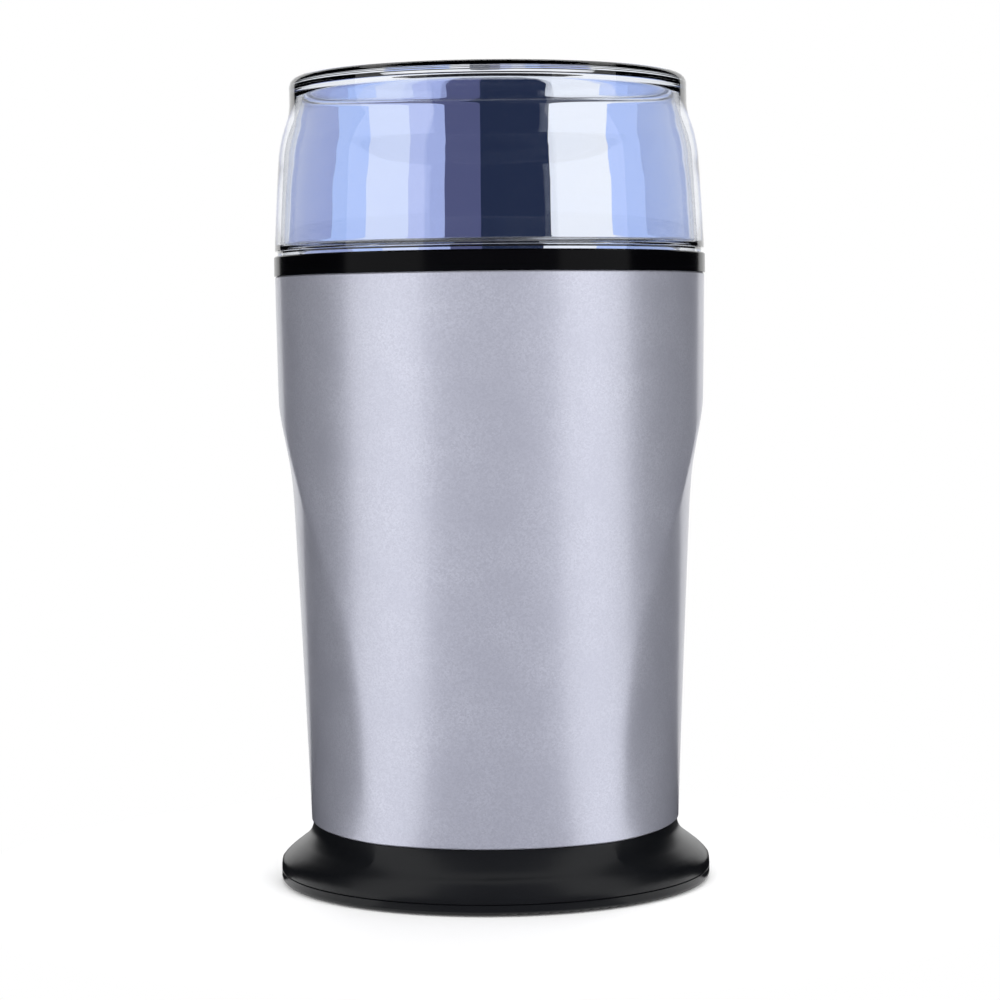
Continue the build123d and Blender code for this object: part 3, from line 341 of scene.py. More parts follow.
def curve(start: Spot, *spans: tuple[Spot, Spot, int]) -> Outline:
    """Points on arcs that follow each other.

    Args:
        start: radius and height where the first arc begins.
        spans: a point on each arc, its end and its number of points.

    Returns:
        The points in order, the start included.
    """
    made = [start]
    for through, end, steps in spans:
        made += arc(start, through, end, steps)
        start = end
    return made


def mirrored(x: float, y: float, z: float) -> list[Point]:
    """The four points that lie alike on both sides of both upright planes."""
    return [(i * x, j * y, z) for i in (-1, 1) for j in (-1, 1)]


def linked(name: str, data: bpy.types.ID) -> bpy.types.Object:
    """Adds an object to the scene.

    Args:
        name: name of the object.
        data: its mesh, lamp or camera data.

    Returns:
        The new object.
    """
    made = bpy.data.objects.new(name, data)
    bpy.context.scene.collection.objects.link(made)
    return made


def cleaned(mesh: bpy.types.Mesh, merge: float, sharp: float) -> None:
    """Merges a mesh, turns its shell outwards and shades its curved faces smooth.

    Args:
        mesh: the mesh.
        merge: distance in metres under which vertices are merged.
        sharp: angle in degrees over which an edge stays sharp.
    """
    shell = bmesh.new()
    shell.from_mesh(mesh)
    bmesh.ops.remove_doubles(shell, verts=shell.verts, dist=merge)
    if shell.calc_volume(signed=True) < 0:
        bmesh.ops.reverse_faces(shell, faces=shell.faces)
    shell.to_mesh(mesh)
    shell.free()
    mesh.shade_smooth()
    mesh.set_sharp_from_angle(angle=math.radians(sharp))


def mesh_object(name: str, points: list[Point], faces: list[list[int]], sharp: float) -> bpy.types.Object:
    """Makes a smooth-shaded object from points in millimetres, with its faces outwards.

    Args:
        name: name of the piece.
        points: vertices in millimetres.
        faces: vertex numbers of each face.
        sharp: angle in degrees over which an edge stays sharp.

    Returns:
        The new object, at the origin.
    """
    mesh = bpy.data.meshes.new(name)
    mesh.from_pydata([(x * MM, y * MM, z * MM) for x, y, z in points], [], faces)
    cleaned(mesh, MERGE, sharp)
    return linked(name, mesh)


class Facing(Enum):
    """Which way the tree's +Z points on the grinder."""

    UP = Matrix.Identity(3)
    DOWN = Matrix.Rotation(math.pi, 3, "X")
    BACK = Matrix.Rotation(-math.pi / 2, 3, "X")
    FRONT = Matrix.Rotation(math.pi / 2, 3, "X")
    RIGHT = Matrix.Rotation(math.pi / 2, 3, "Y")


@dataclass
class Pattern:
    """A Geometry Nodes tree with named sizes, run once on its seed points and kept as a plain mesh."""

    name: str
    sizes: dict[str, float]
    tree: bpy.types.NodeTree = field(init=False)
    entry: bpy.types.Node = field(init=False)
    keys: dict[str, str] = field(init=False, default_factory=dict)

    def __post_init__(self) -> None:
        """Makes the tree with one float input for each size."""
        self.tree = bpy.data.node_groups.new(self.name, "GeometryNodeTree")
        face = self.tree.interface
        face.new_socket("Geometry", in_out="INPUT", socket_type="NodeSocketGeometry")
        face.new_socket("Geometry", in_out="OUTPUT", socket_type="NodeSocketGeometry")
        for name in self.sizes:
            self.keys[name] = face.new_socket(name, in_out="INPUT", socket_type="NodeSocketFloat").identifier
        self.entry = add_node(self.tree, "NodeGroupInput")

    def size(self, name: str) -> bpy.types.NodeSocket:
        """Output socket of one named size, in metres."""
        return self.entry.outputs[name]

    def node(self, kind: str, sockets: dict | tuple = (), **settings: object) -> bpy.types.Node:
        """One more node of this tree."""
        return add_node(self.tree, kind, sockets, **settings)

    def moved(self, part: Feed, x: Feed = 0.0, z: Feed = 0.0) -> bpy.types.Node:
        """The part moved sideways and up."""
        offset = self.node("ShaderNodeCombineXYZ", (x, 0.0, z))
        return self.node("GeometryNodeTransform", {"Geometry": part, "Translation": offset})

    def tube(self, path: Feed, radius: Feed, sides: int) -> bpy.types.Node:
        """Runs a closed tube or wire along a path.

        Args:
            path: the curve that it follows.
            radius: radius of the tube.
            sides: number of faces round it.

        Returns:
            The node that gives the tube.
        """
        profile = self.node("GeometryNodeCurvePrimitiveCircle", {"Resolution": sides, "Radius": radius})
        sockets = {"Curve": path, "Profile Curve": profile, "Fill Caps": True}
        return self.node("GeometryNodeCurveToMesh", sockets)

    def stacked(self, part: Feed, count: int, pitch: str) -> bpy.types.Node:
        """Copies a part one above the other.

        Args:
            part: what is copied.
            count: number of copies.
            pitch: named size between one copy and the next.

        Returns:
            The realized copies.
        """
        step = self.node("ShaderNodeCombineXYZ", (0.0, 0.0, self.size(pitch)))
        line = self.node("GeometryNodeMeshLine", {"Count": count, "Offset": step}, mode="OFFSET")
        return self.placed(part, line)

    def placed(self, part: Feed, points: Feed, turned: bool = False) -> bpy.types.Node:
        """Copies a part on points.

        Args:
            part: what is copied.
            points: where the copies go.
            turned: whether each copy is turned about Z to face away from the axis.

        Returns:
            The realized copies.
        """
        sockets: dict = {"Points": points, "Instance": part}
        if turned:
            x, y, _ = self.node("ShaderNodeSeparateXYZ", (self.node("GeometryNodeInputPosition"),)).outputs
            angle = self.node("ShaderNodeMath", (y, x), operation="ARCTAN2")
            sockets["Rotation"] = self.node("ShaderNodeCombineXYZ", (0.0, 0.0, angle))
        copies = self.node("GeometryNodeInstanceOnPoints", sockets)
        return self.node("GeometryNodeRealizeInstances", (copies,))

    def bake(
        self,
        name: str,
        seeds: list[Point] | bpy.types.Mesh,
        part: Feed,
        finish: Finish,
        facing: Facing,
        sharp: float,
    ) -> bpy.types.Object:
        """Ends the tree, runs it on the seeds and keeps the result as a plain mesh.

        Args:
            name: name of the piece.
            seeds: points in millimetres where the copies go, or a mesh to work on.
            part: what the tree gives.
            finish: finish of the piece.
            facing: which way the tree's +Z points on the grinder.
            sharp: angle in degrees over which an edge stays sharp.

        Returns:
            The piece.
        """
        turn = facing.value
        sockets = {"Geometry": part, "Material": finish.material()}
        self.node("NodeGroupOutput", (self.node("GeometryNodeSetMaterial", sockets),))
        if isinstance(seeds, bpy.types.Mesh):
            start = seeds
        else:
            start = bpy.data.meshes.new(name + "_seeds")
            start.from_pydata([turn.inverted() @ (Vector(p) * MM) for p in seeds], [], [])
        host = linked(name, start)
        run = host.modifiers.new(self.name, "NODES")
        run.node_group = self.tree
        for size, value in self.sizes.items():
            run[self.keys[size]] = value * MM
        bpy.context.view_layer.update()
        baked = bpy.data.meshes.new_from_object(host.evaluated_get(bpy.context.evaluated_depsgraph_get()))
        host.modifiers.clear()
        host.data = baked
        baked.transform(turn.to_4x4())
        cleaned(baked, MERGE, sharp)
        return host


def revolved(name: str, outline: Outline, segments: int, sharp: float) -> bpy.types.Object:
    """Turns an outline about Z into one closed shell.

    Args:
        name: name of the piece.
        outline: radius and height in millimetres, from the axis back to the axis.
        segments: number of steps round.
        sharp: angle in degrees over which an edge stays sharp.

    Returns:
        The new object.
    """
    points, rows, faces = [], [], []
    for radius, height in outline:
        if radius < 1e-6:
            rows.append([len(points)] * segments)
            points.append((0.0, 0.0, height))
            continue
        rows.append(list(range(len(points), len(points) + segments)))
        for k in range(segments):
            turn = 2 * math.pi * k / segments
            points.append((radius * math.cos(turn), radius * math.sin(turn), height))
    for low, high in zip(rows, rows[1:]):
        for k in range(segments):
            corner = [low[k], low[(k + 1) % segments], high[(k + 1) % segments], high[k]]
            faces.append([v for i, v in enumerate(corner) if v != corner[i - 1]])
    return mesh_object(name, points, faces, sharp)


@dataclass(frozen=True)
class Screws:
    """One set of equal cross-headed screws: their node, the middles of their outer faces and their sizes."""

    node: str
    faces: list[Point]
    facing: Facing
    head_radius: float
    head_height: float
    shank_radius: float
    length: float

    def built(self) -> bpy.types.Object:
        """Makes the whole set as one piece.

        Returns:
            The piece, in place.
        """
        head, height, shank = self.head_radius, self.head_height, self.shank_radius
        point = 1.4 * shank
        run = self.length - height - point
        sizes = {
            "Head Radius": head,
            "Head Height": height,
            "Head Middle": -height / 2,
            "Rim Fall": -0.28 * height,
            "Slot Length": 1.05 * head,
            "Slot Width": 0.2 * head,
            "Slot Depth": 1.1 * height,
            "Core Radius": 0.84 * shank,
            "Core Length": run,
            "Core Middle": -height - run / 2,
            "Point Length": point,
            "Tip Radius": 0.15 * shank,
            "Tip Level": -self.length,
            "Thread Reach": 0.86 * shank,
            "Thread Radius": 0.13 * shank,
            "Thread Level": point - self.length,
        }
        turns = run / (0.75 * shank)
        tree = Pattern(self.node + "_pattern", sizes)
        names = ("Head Radius", "Core Radius", "Thread Reach", "Core Length")
        radius, core, reach, long = (tree.size(name) for name in names)
        disc = {"Vertices": 28, "Fill Segments": 5, "Radius": radius, "Depth": tree.size("Head Height")}
        place = tree.node("GeometryNodeInputPosition")
        away = tree.node("ShaderNodeVectorMath", (place,), operation="LENGTH").outputs["Value"]
        share = tree.node("ShaderNodeMath", (away, radius), operation="DIVIDE")
        # The fourth power keeps the middle of the head flat and lets only its rim fall.
        share = tree.node("ShaderNodeMath", (share, 4.0), operation="POWER")
        fall = tree.node("ShaderNodeMath", (share, tree.size("Rim Fall")), operation="MULTIPLY")
        level = tree.node("ShaderNodeSeparateXYZ", (place,)).outputs["Z"]
        upper = tree.node("ShaderNodeMath", (level, 0.0), operation="GREATER_THAN")
        fall = tree.node("ShaderNodeMath", (fall, upper), operation="MULTIPLY")
        drop = tree.node("ShaderNodeCombineXYZ", (0.0, 0.0, fall))
        dome = {"Geometry": tree.node("GeometryNodeMeshCylinder", disc), "Offset": drop}
        dome = tree.moved(tree.node("GeometryNodeSetPosition", dome), z=tree.size("Head Middle"))
        slot, wide, deep = (tree.size("Slot " + name) for name in ("Length", "Width", "Depth"))
        bars = []
        for span in ((slot, wide, deep), (wide, slot, deep)):
            bars.append(tree.node("GeometryNodeMeshCube", (tree.node("ShaderNodeCombineXYZ", span),)))
        slots = tree.node("GeometryNodeJoinGeometry", (bars,))
        cut = {"Mesh 1": dome, "Mesh 2": slots, "Self Intersection": True}
        headed = tree.node("GeometryNodeMeshBoolean", cut, operation="DIFFERENCE", solver="EXACT")
        rod = tree.node("GeometryNodeMeshCylinder", {"Vertices": 16, "Radius": core, "Depth": long})
        cone = {"Vertices": 16, "Radius Top": core, "Radius Bottom": tree.size("Tip Radius")}
        tip = tree.node("GeometryNodeMeshCone", {"Depth": tree.size("Point Length"), **cone})
        path = {"Resolution": 14, "Rotations": turns, "Start Radius": reach, "End Radius": reach}
        path = tree.node("GeometryNodeCurveSpiral", {"Height": long, **path})
        thread = tree.tube(path, tree.size("Thread Radius"), 4)
        pieces = [headed]
        for piece, level in ((rod, "Core Middle"), (tip, "Tip Level"), (thread, "Thread Level")):
            pieces.append(tree.moved(piece, z=tree.size(level)))
        placed = tree.placed(tree.node("GeometryNodeJoinGeometry", (pieces,)), tree.entry)
        return tree.bake(self.node + "_fine", self.faces, placed, ZINC_STEEL, self.facing, 35.0)


# -------------------------------------------------------------- sub-assemblies
@dataclass
class SubAssembly:
    """A group of pieces: smooth copies of solids with their finishes, pieces made here, and screws."""

    copies: ClassVar[dict[str, Finish]] = {}
    screws: ClassVar[tuple[Screws, ...]] = ()
    frame: dict

    def seat(self, piece: bpy.types.Object, node: str, finish: Finish) -> None:
        """Gives a new piece its finish and lets it stand for a node.

        Args:
            piece: the piece, in place.
            node: the node that it stands for.
            finish: its finish.
        """
        piece.data.materials.clear()
        piece.data.materials.append(finish.material())
        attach(piece, self.frame["nodes"][node]["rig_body"])
        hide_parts(node)
        faces = len(piece.data.polygons)
        log.info("%s: %s, %d faces in %s", type(self).__name__, piece.name, faces, finish.name)

    def smoothed(self, node: str, name: str, sharp: float = 28.0) -> bpy.types.Object:
        """Copies a node's mesh, merges it and shades its curved faces smooth.

        Args:
            node: the node to copy.
            name: name of the new piece.
            sharp: angle in degrees over which an edge stays sharp.

        Returns:
            The copy.
        """
        mesh = self.frame["nodes"][node].data.copy()
        mesh.name = name
        if "custom_normal" in mesh.attributes:
            mesh.attributes.remove(mesh.attributes["custom_normal"])
        cleaned(mesh, SOLID_MERGE, sharp)
        return linked(name, mesh)

    def make(self) -> None:
        """Makes the pieces that are neither copies nor screws."""

    def dress(self) -> None:
        """Shows the copied nodes, the pieces made here and the screws."""
        for node, finish in self.copies.items():
            self.seat(self.smoothed(node, node + "_fine"), node, finish)
        self.make()
        for screws in self.screws:
            self.seat(screws.built(), screws.node, ZINC_STEEL)


@dataclass
class Lid(SubAssembly):
    """Clear cup that is pressed down to run the motor."""

    top_z: float = 175.4
    roof_z: float = 173.0
    edge_z: float = 135.9
    rebate_z: float = 137.8
    skirt_z: float = 132.0
    lug_z: float = 127.0
    lug_half_angle: float = 7.47
    segments: int = 256

    def outline(self) -> Outline:
        """Draws the wall of the cup, from the inner pole round to the outer one.

        Returns:
            Radius and height of each point.
        """
        outer = [(46.2, self.rebate_z - 0.1), (46.3, self.rebate_z), (46.6, self.rebate_z)]
        outer += [(46.74, self.rebate_z + 0.07)]
        outer += curve(
            (46.8, self.rebate_z + 0.3),
            ((46.35, 147), (45.75, 157), 16),
            ((45.2, 161.2), (44.2, 164.8), 8),
            ((43.4, 167.6), (43.2, 170.5), 8),
        )
        outer += [(43.2, 171.8)] + curve((43.2, 173.2), ((42.55, 174.75), (41.0, self.top_z), 10))
        outer += [(radius, self.top_z) for radius in (40.0, 36.0, 24.0, 12.0, 0.0)]
        inner = [(radius, self.roof_z) for radius in (0.0, 12.0, 26.0, 36.0)]
        inner += curve(
            (38.6, self.roof_z),
            ((40.3, 172.3), (41, 170.6), 8),
            ((41.38, 167.4), (42.2, 164.3), 8),
            ((43.2, 160.7), (43.73, 156.7), 8),
            ((44.13, 152), (44.4, 147), 10),
        )
        inner += curve((44.8, 139.2), ((44.4, 138.1), (43.3, 137.6), 6))
        skirt = [(41.95, 137.6), (41.75, 137.4), (41.75, self.skirt_z + 0.2), (41.9, self.skirt_z)]
        skirt += [(42.9, self.skirt_z), (43.05, self.skirt_z + 0.2), (43.05, self.edge_z)]
        return inner + skirt + [(46.1, self.edge_z), (46.2, self.edge_z + 0.1)] + outer

    def make(self) -> None:
        """Builds the cup with its two lugs as one clear piece."""
        cup = revolved("lid_cup", self.outline(), self.segments, 40.0)
        step = 360 / self.segments
        for vertex in cup.data.vertices:
            low = abs(vertex.co.z - self.skirt_z * MM) < 1e-6
            aside = math.degrees(math.atan2(abs(vertex.co.x), abs(vertex.co.y)))
            if not low or aside > self.lug_half_angle + step:
                continue
            if aside < self.lug_half_angle:
                vertex.co.z = self.lug_z * MM
            if aside > self.lug_half_angle - step:
                turn, radius = math.radians(self.lug_half_angle), math.hypot(vertex.co.x, vertex.co.y)
                vertex.co.x = math.copysign(radius * math.sin(turn), vertex.co.x)
                vertex.co.y = math.copysign(radius * math.cos(turn), vertex.co.y)
        self.seat(cup, "lid", CLEAR_SAN)


@dataclass
class Housing(SubAssembly):
    """Silver shell with a hollowed scoop down each side."""

    bottom_z: float = 13.5
    top_z: float = 132.4
    body_radii: tuple[float, float, float] = (43.9, 45.74, 46.8)
    wall: float = 2.0
    crease: float = 0.45
    rows: int = 120
    around: int = 480
    inner_rows: int = 24
    low_round: float = 0.25
    rim_round: float = 0.3
    boss_radius: float = 4.2
    boss_low_z: float = 17.8
    boss_high_z: float = 29.6
    boss_hole: float = 1.5
    hole_share: float = 1.9
    boss_spot: float = 26.0
    rib_width: float = 5.0
    rib_reach: float = 42.0
    scoop: tuple[tuple[float, float, float], ...] = (
        (0.0, 39.9, 49.5),
        (13.5, 40.4, 50.0),
        (27.0, 40.9, 51.1),
        (40.0, 41.42, 52.4),
        (52.0, 41.92, 54.3),
        (62.0, 42.35, 56.5),
        (70.0, 42.7, 60.2),
        (78.0, 43.05, 66.0),
        (84.0, 43.33, 77.0),
        (90.0, 43.8, 98.0),
        (96.0, 44.75, 120.0),
        (103.0, 46.15, 120.0),
        (110.0, 47.6, 120.0),
        (140.0, 53.0, 120.0),
    )

    def body_radius(self, z: float) -> float:
        """Works out the radius of the turned body, which is bowed evenly between its ends.

        Args:
            z: height.

        Returns:
            The radius in millimetres.
        """
        low, middle, top = self.body_radii
        t = (z - self.bottom_z) / (self.top_z - self.bottom_z)
        bow = middle - (low + top) / 2
        return low + (top - low) * t + bow * 4 * t * (1 - t)

    def scoop_at(self, z: float) -> tuple[float, float]:
        """Reads the scoop's stations at a height, smoothly between them.

        Args:
            z: height.

        Returns:
            Half width of the body across the scoops, and plan radius of the scoop's face.
        """
        s = self.scoop
        i = max(k for k in range(len(s) - 1) if s[k][0] <= z or k == 0)
        h = s[i + 1][0] - s[i][0]
        t = (z - s[i][0]) / h
        before, after = max(i - 1, 0), min(i + 2, len(s) - 1)
        out = []
        for c in (1, 2):
            slope_in = (s[i + 1][c] - s[before][c]) / (s[i + 1][0] - s[before][0])
            slope_out = (s[after][c] - s[i][c]) / (s[after][0] - s[i][0])
            out.append(
                (2 * t**3 - 3 * t * t + 1) * s[i][c]
                + (t**3 - 2 * t * t + t) * h * slope_in
                + (-2 * t**3 + 3 * t * t) * s[i + 1][c]
                + (t**3 - t * t) * h * slope_out
            )
        return out[0], out[1]

    def reach(self, z: float, angle: float, inset: float) -> float:
        """Distance of the wall from the axis, with the crease of the scoop rounded.

        Args:
            z: height.
            angle: direction about the axis, 0 along +X.
            inset: how far inside the outer face.

        Returns:
            The radius in millimetres.
        """
        side, plan = self.scoop_at(z)
        side, plan = side - inset, plan - inset
        centre = side - plan
        body = self.body_radius(z) - inset
        across = abs(math.cos(angle))
        cut = centre * across + math.sqrt(plan**2 - (centre * math.sin(angle)) ** 2)
        h = min(max(0.5 + 0.5 * (cut - body) / self.crease, 0.0), 1.0)
        return cut + (body - cut) * h - self.crease * h * (1 - h)

    def bosses(self) -> bpy.types.Object:
        """Makes the four screw bosses with the ribs that join them to the wall.

        Returns:
            The bosses as one piece.
        """
        height = self.boss_high_z - self.boss_low_z
        rib = self.rib_reach - self.boss_spot * math.sqrt(2)
        sizes = {"Radius": self.boss_radius, "Height": height, "Hole": self.boss_hole}
        sizes |= {"Hole Depth": self.hole_share * height, "Hole Middle": -height / 2}
        sizes |= {"Rib": rib, "Rib Middle": rib / 2, "Rib Width": self.rib_width}
        tree = Pattern("boss_pattern", sizes)
        size = {name: tree.size(name) for name in sizes}
        post = {"Vertices": 40, "Radius": size["Radius"], "Depth": size["Height"]}
        span = tree.node("ShaderNodeCombineXYZ", (size["Rib"], size["Rib Width"], size["Height"]))
        bar = tree.moved(tree.node("GeometryNodeMeshCube", (span,)), x=size["Rib Middle"])
        both = tree.node("GeometryNodeJoinGeometry", ([tree.node("GeometryNodeMeshCylinder", post), bar],))
        union = {"Mesh 2": both, "Self Intersection": True}
        solid = tree.node("GeometryNodeMeshBoolean", union, operation="UNION", solver="EXACT")
        hole = {"Vertices": 24, "Radius": size["Hole"], "Depth": size["Hole Depth"]}
        hole = tree.moved(tree.node("GeometryNodeMeshCylinder", hole), z=size["Hole Middle"])
        cut = {"Mesh 1": solid, "Mesh 2": hole}
        drilled = tree.node("GeometryNodeMeshBoolean", cut, operation="DIFFERENCE", solver="EXACT")
        placed = tree.placed(drilled, tree.entry, turned=True)
        spots = mirrored(self.boss_spot, self.boss_spot, (self.boss_low_z + self.boss_high_z) / 2)
        return tree.bake("housing_bosses", spots, placed, SILVER_PAINT, Facing.UP, 30.0)

    def make(self) -> None:
        """Builds the shell as one closed wall, outside, rim, inside and lower edge, and its bosses."""
        points, rings = [], []
        tall = self.top_z - self.bottom_z
        outside = [self.bottom_z + self.low_round]
        outside += [self.bottom_z + tall * i / self.rows for i in range(1, self.rows)]
        loop = [(self.bottom_z, self.low_round)] + [(z, 0.0) for z in outside + [self.top_z - self.rim_round]]
        loop += [(self.top_z, self.rim_round), (self.top_z, self.wall)]
        loop += [(self.top_z - tall * i / self.inner_rows, self.wall) for i in range(1, self.inner_rows + 1)]
        for z, inset in loop:
            rings.append(len(points))
            for k in range(self.around):
                angle = 2 * math.pi * k / self.around
                r = self.reach(z, angle, inset)
                points.append((r * math.cos(angle), r * math.sin(angle), z))
        faces = []
        for low, high in zip(rings, rings[1:] + rings[:1]):
            for k in range(self.around):
                n = (k + 1) % self.around
                faces.append([low + k, low + n, high + n, high + k])
        self.seat(mesh_object("housing_shell", points, faces, 40.0), "housing", SILVER_PAINT)
        self.seat(self.bosses(), "housing", SILVER_PAINT)


@dataclass
class Ring(SubAssembly):
    """Glossy black collar between the lid and the body."""

    copies: ClassVar = {"collar": GLOSS_ABS}


@dataclass
class Base(SubAssembly):
    """Flared black foot with its screws and rubber feet."""

    copies: ClassVar = {"base": SATIN_ABS}
    screws: ClassVar = (
        Screws("base_screws", mirrored(26.0, 26.0, 8.4), Facing.DOWN, 2.5, 2.0, 1.45, 19.6),
        Screws("frame_screws", mirrored(28.7, 10.4, 8.4), Facing.DOWN, 2.5, 2.0, 1.45, 15.6),
    )
    foot_spot: Spot = (18.0, 31.2)
    foot_radius: float = 5.0
    foot_height: float = 2.3
    foot_stem_radius: float = 1.45
    foot_stem_z: float = 4.7
    foot_edge: float = 0.4
    grip_shares: tuple[float, ...] = (0.3, 0.58, 0.86)

    def feet(self) -> bpy.types.Object:
        """Makes the rubber feet, each a disc with grip rings under it and a stem.

        Returns:
            The four feet as one piece.
        """
        edge, top, tip = self.foot_edge, self.foot_height, self.foot_stem_z
        sizes = {"Radius": self.foot_radius, "Body": top - edge, "Body Middle": (top + edge) / 2}
        sizes |= {"Stem Radius": self.foot_stem_radius, "Stem": tip - top, "Stem Middle": (tip + top) / 2}
        sizes["Edge"] = edge
        sizes |= {f"Grip {share}": share * self.foot_radius for share in self.grip_shares}
        tree = Pattern("foot_pattern", sizes)
        size = {name: tree.size(name) for name in sizes}
        pieces = []
        for sides, radius, tall in ((48, "Radius", "Body"), (24, "Stem Radius", "Stem")):
            disc = {"Vertices": sides, "Radius": size[radius], "Depth": size[tall]}
            disc = tree.node("GeometryNodeMeshCylinder", disc)
            pieces.append(tree.moved(disc, z=size[tall + " Middle"]))
        for share in self.grip_shares:
            path = {"Resolution": 48, "Radius": size[f"Grip {share}"]}
            path = tree.node("GeometryNodeCurvePrimitiveCircle", path)
            pieces.append(tree.moved(tree.tube(path, size["Edge"], 12), z=size["Edge"]))
        placed = tree.placed(tree.node("GeometryNodeJoinGeometry", (pieces,)), tree.entry)
        spots = mirrored(*self.foot_spot, 0.0)
        return tree.bake("rubber_feet_fine", spots, placed, NITRILE, Facing.UP, 30.0)

    def make(self) -> None:
        """Puts the rubber feet under the base."""
        self.seat(self.feet(), "rubber_feet", NITRILE)


@dataclass
class Bowl(SubAssembly):
    """Grinding bowl with its sleeve, seal and blade."""

    copies: ClassVar = {
        "bowl": SPUN_STEEL,
        "bowl_gasket": SILICONE,
        "bowl_sleeve": TURNED_BRASS,
        "sleeve_nut": TURNED_BRASS,
        "shaft_seal": NITRILE,
        "blade": GROUND_STEEL,
        "blade_spacer": SPUN_STEEL,
        "blade_cap": SPUN_STEEL,
    }


# Middles of the screws' outer faces: two bolts on a diagonal, and four screws round the rubber dampers.
BOLT_FACES = [(s * 28.9 * math.sqrt(0.5), s * 28.9 * math.sqrt(0.5), 71.6) for s in (-1, 1)]
DAMPER_FACES = [(21.5 * x, 21.5 * y, 97.7) for x, y in ((1, 0), (-1, 0), (0, 1), (0, -1))]


@dataclass
class Motor(SubAssembly):
    """Universal motor with its cores, windings, brackets and brushes."""

    copies: ClassVar = {
        "motor_shaft": GROUND_STEEL,
        "armature_windings": COPPER_WIRE,
        "commutator": COPPER_BAR,
        "cooling_fan": GREY_NYLON,
        "upper_motor_bracket": CAST_ALLOY,
        "lower_motor_bracket": CAST_ALLOY,
        "upper_bearing": SINTER_BRONZE,
        "lower_bearing": SINTER_BRONZE,
        "brush_holders": TURNED_BRASS,
        "carbon_brushes": CARBON,
        "motor_dampers": NITRILE,
    }
    screws: ClassVar = (
        Screws("motor_bolts", BOLT_FACES, Facing.UP, 2.3, 2.0, 1.4, 33.1),
        Screws("motor_screws", DAMPER_FACES, Facing.UP, 3.2, 1.6, 1.3, 13.7),
    )
    core_z: float = 44.0
    core_sheets: int = 44
    sheet: float = 0.42
    sheet_pitch: float = 0.5
    armature_z: float = 44.5
    armature_sheets: int = 42
    coil_y: float = 15.0
    coil_z: float = 55.0
    coil_inner: tuple[float, float] = (25.8, 22.6)
    coil_wire: float = 0.7
    coil_rows: int = 6
    coil_corner: float = 2.6
    spring_start_x: float = 19.4
    spring_length: float = 8.0
    spring_radius: float = 1.8
    spring_wire: float = 0.25
    spring_z: float = 31.0
    spring_turns: float = 8.0

    def sheets(self, node: str, bottom_z: float, count: int) -> bpy.types.Object:
        """Rebuilds a core as separate sheets with the outline of its solid.

        Args:
            node: the core's node.
            bottom_z: its lowest level in millimetres.
            count: number of sheets.

        Returns:
            The core as one piece.
        """
        tree = Pattern(node + "_pattern", {"Sheet": self.sheet, "Pitch": self.sheet_pitch})
        flat = self.smoothed(node, node + "_outline")
        shell = bmesh.new()
        shell.from_mesh(flat.data)
        sides = [f for f in shell.faces if max(abs(v.co.z - bottom_z * MM) for v in f.verts) > 1e-5]
        bmesh.ops.delete(shell, geom=sides, context="FACES")
        shell.to_mesh(flat.data)
        shell.free()
        seeds = flat.data
        bpy.data.objects.remove(flat)
        # The direction is linked, because an open Offset socket reads the face's own normal instead.
        up = tree.node("ShaderNodeCombineXYZ", (0.0, 0.0, 1.0))
        lift = {"Offset": up, "Offset Scale": tree.size("Sheet"), "Individual": False}
        lifted = tree.node("GeometryNodeExtrudeMesh", {"Mesh": tree.entry, **lift})
        lifted = tree.node("GeometryNodeFlipFaces", {"Mesh": lifted})
        sheet = tree.node("GeometryNodeJoinGeometry", ([lifted, tree.entry],))
        placed = tree.stacked(sheet, count, "Pitch")
        return tree.bake(node + "_fine", seeds, placed, SHEET_STEEL, Facing.UP, 30.0)

    def coils(self) -> bpy.types.Object:
        """Lays the wire turns of both field coils.

        Returns:
            Both coils as one piece.
        """
        wide, tall = self.coil_inner
        sizes = {"Width": wide, "Height": tall, "Wire": self.coil_wire, "Wire Radius": self.coil_wire / 2}
        sizes |= {"Corner": self.coil_corner, "Lowest Row": self.coil_wire * (1 - self.coil_rows) / 2}
        tree = Pattern("coil_pattern", sizes)
        turns = []
        for layer in range(self.coil_rows):
            # Each layer lies one wire further out on both sides, and its corners are a little rounder.
            wider, grown = 2.0 * layer + 1.0, {}
            for name, share in (("Width", wider), ("Height", wider), ("Corner", 0.9 * layer)):
                factors = (tree.size("Wire"), share, tree.size(name))
                grown[name] = tree.node("ShaderNodeMath", factors, operation="MULTIPLY_ADD")
            corner = {"Radius": grown.pop("Corner"), "Count": 4}
            loop = tree.node("GeometryNodeCurvePrimitiveQuadrilateral", grown)
            loop = tree.node("GeometryNodeFilletCurve", {"Curve": loop, **corner}, mode="POLY")
            turns.append(tree.tube(loop, tree.size("Wire Radius"), 6))
        rows = tree.stacked(tree.node("GeometryNodeJoinGeometry", (turns,)), self.coil_rows, "Wire")
        placed = tree.placed(tree.moved(rows, z=tree.size("Lowest Row")), tree.entry)
        spots = [(0.0, y * self.coil_y, self.coil_z) for y in (-1, 1)]
        return tree.bake("field_coils_fine", spots, placed, COPPER_LOOP, Facing.FRONT, 60.0)

    def springs(self) -> bpy.types.Object:
        """Winds the two brush springs.

        Returns:
            Both springs as one piece.
        """
        sizes = {"Radius": self.spring_radius, "Length": self.spring_length, "Wire": self.spring_wire}
        tree = Pattern("spring_pattern", sizes)
        radius = tree.size("Radius")
        path = {"Start Radius": radius, "End Radius": radius, "Height": tree.size("Length")}
        path |= {"Resolution": 24, "Rotations": self.spring_turns}
        coil = tree.tube(tree.node("GeometryNodeCurveSpiral", path), tree.size("Wire"), 8)
        starts = [self.spring_start_x, -self.spring_start_x - self.spring_length]
        spots = [(x, 0.0, self.spring_z) for x in starts]
        placed = tree.placed(coil, tree.entry)
        return tree.bake("brush_springs_fine", spots, placed, ZINC_STEEL, Facing.RIGHT, 60.0)

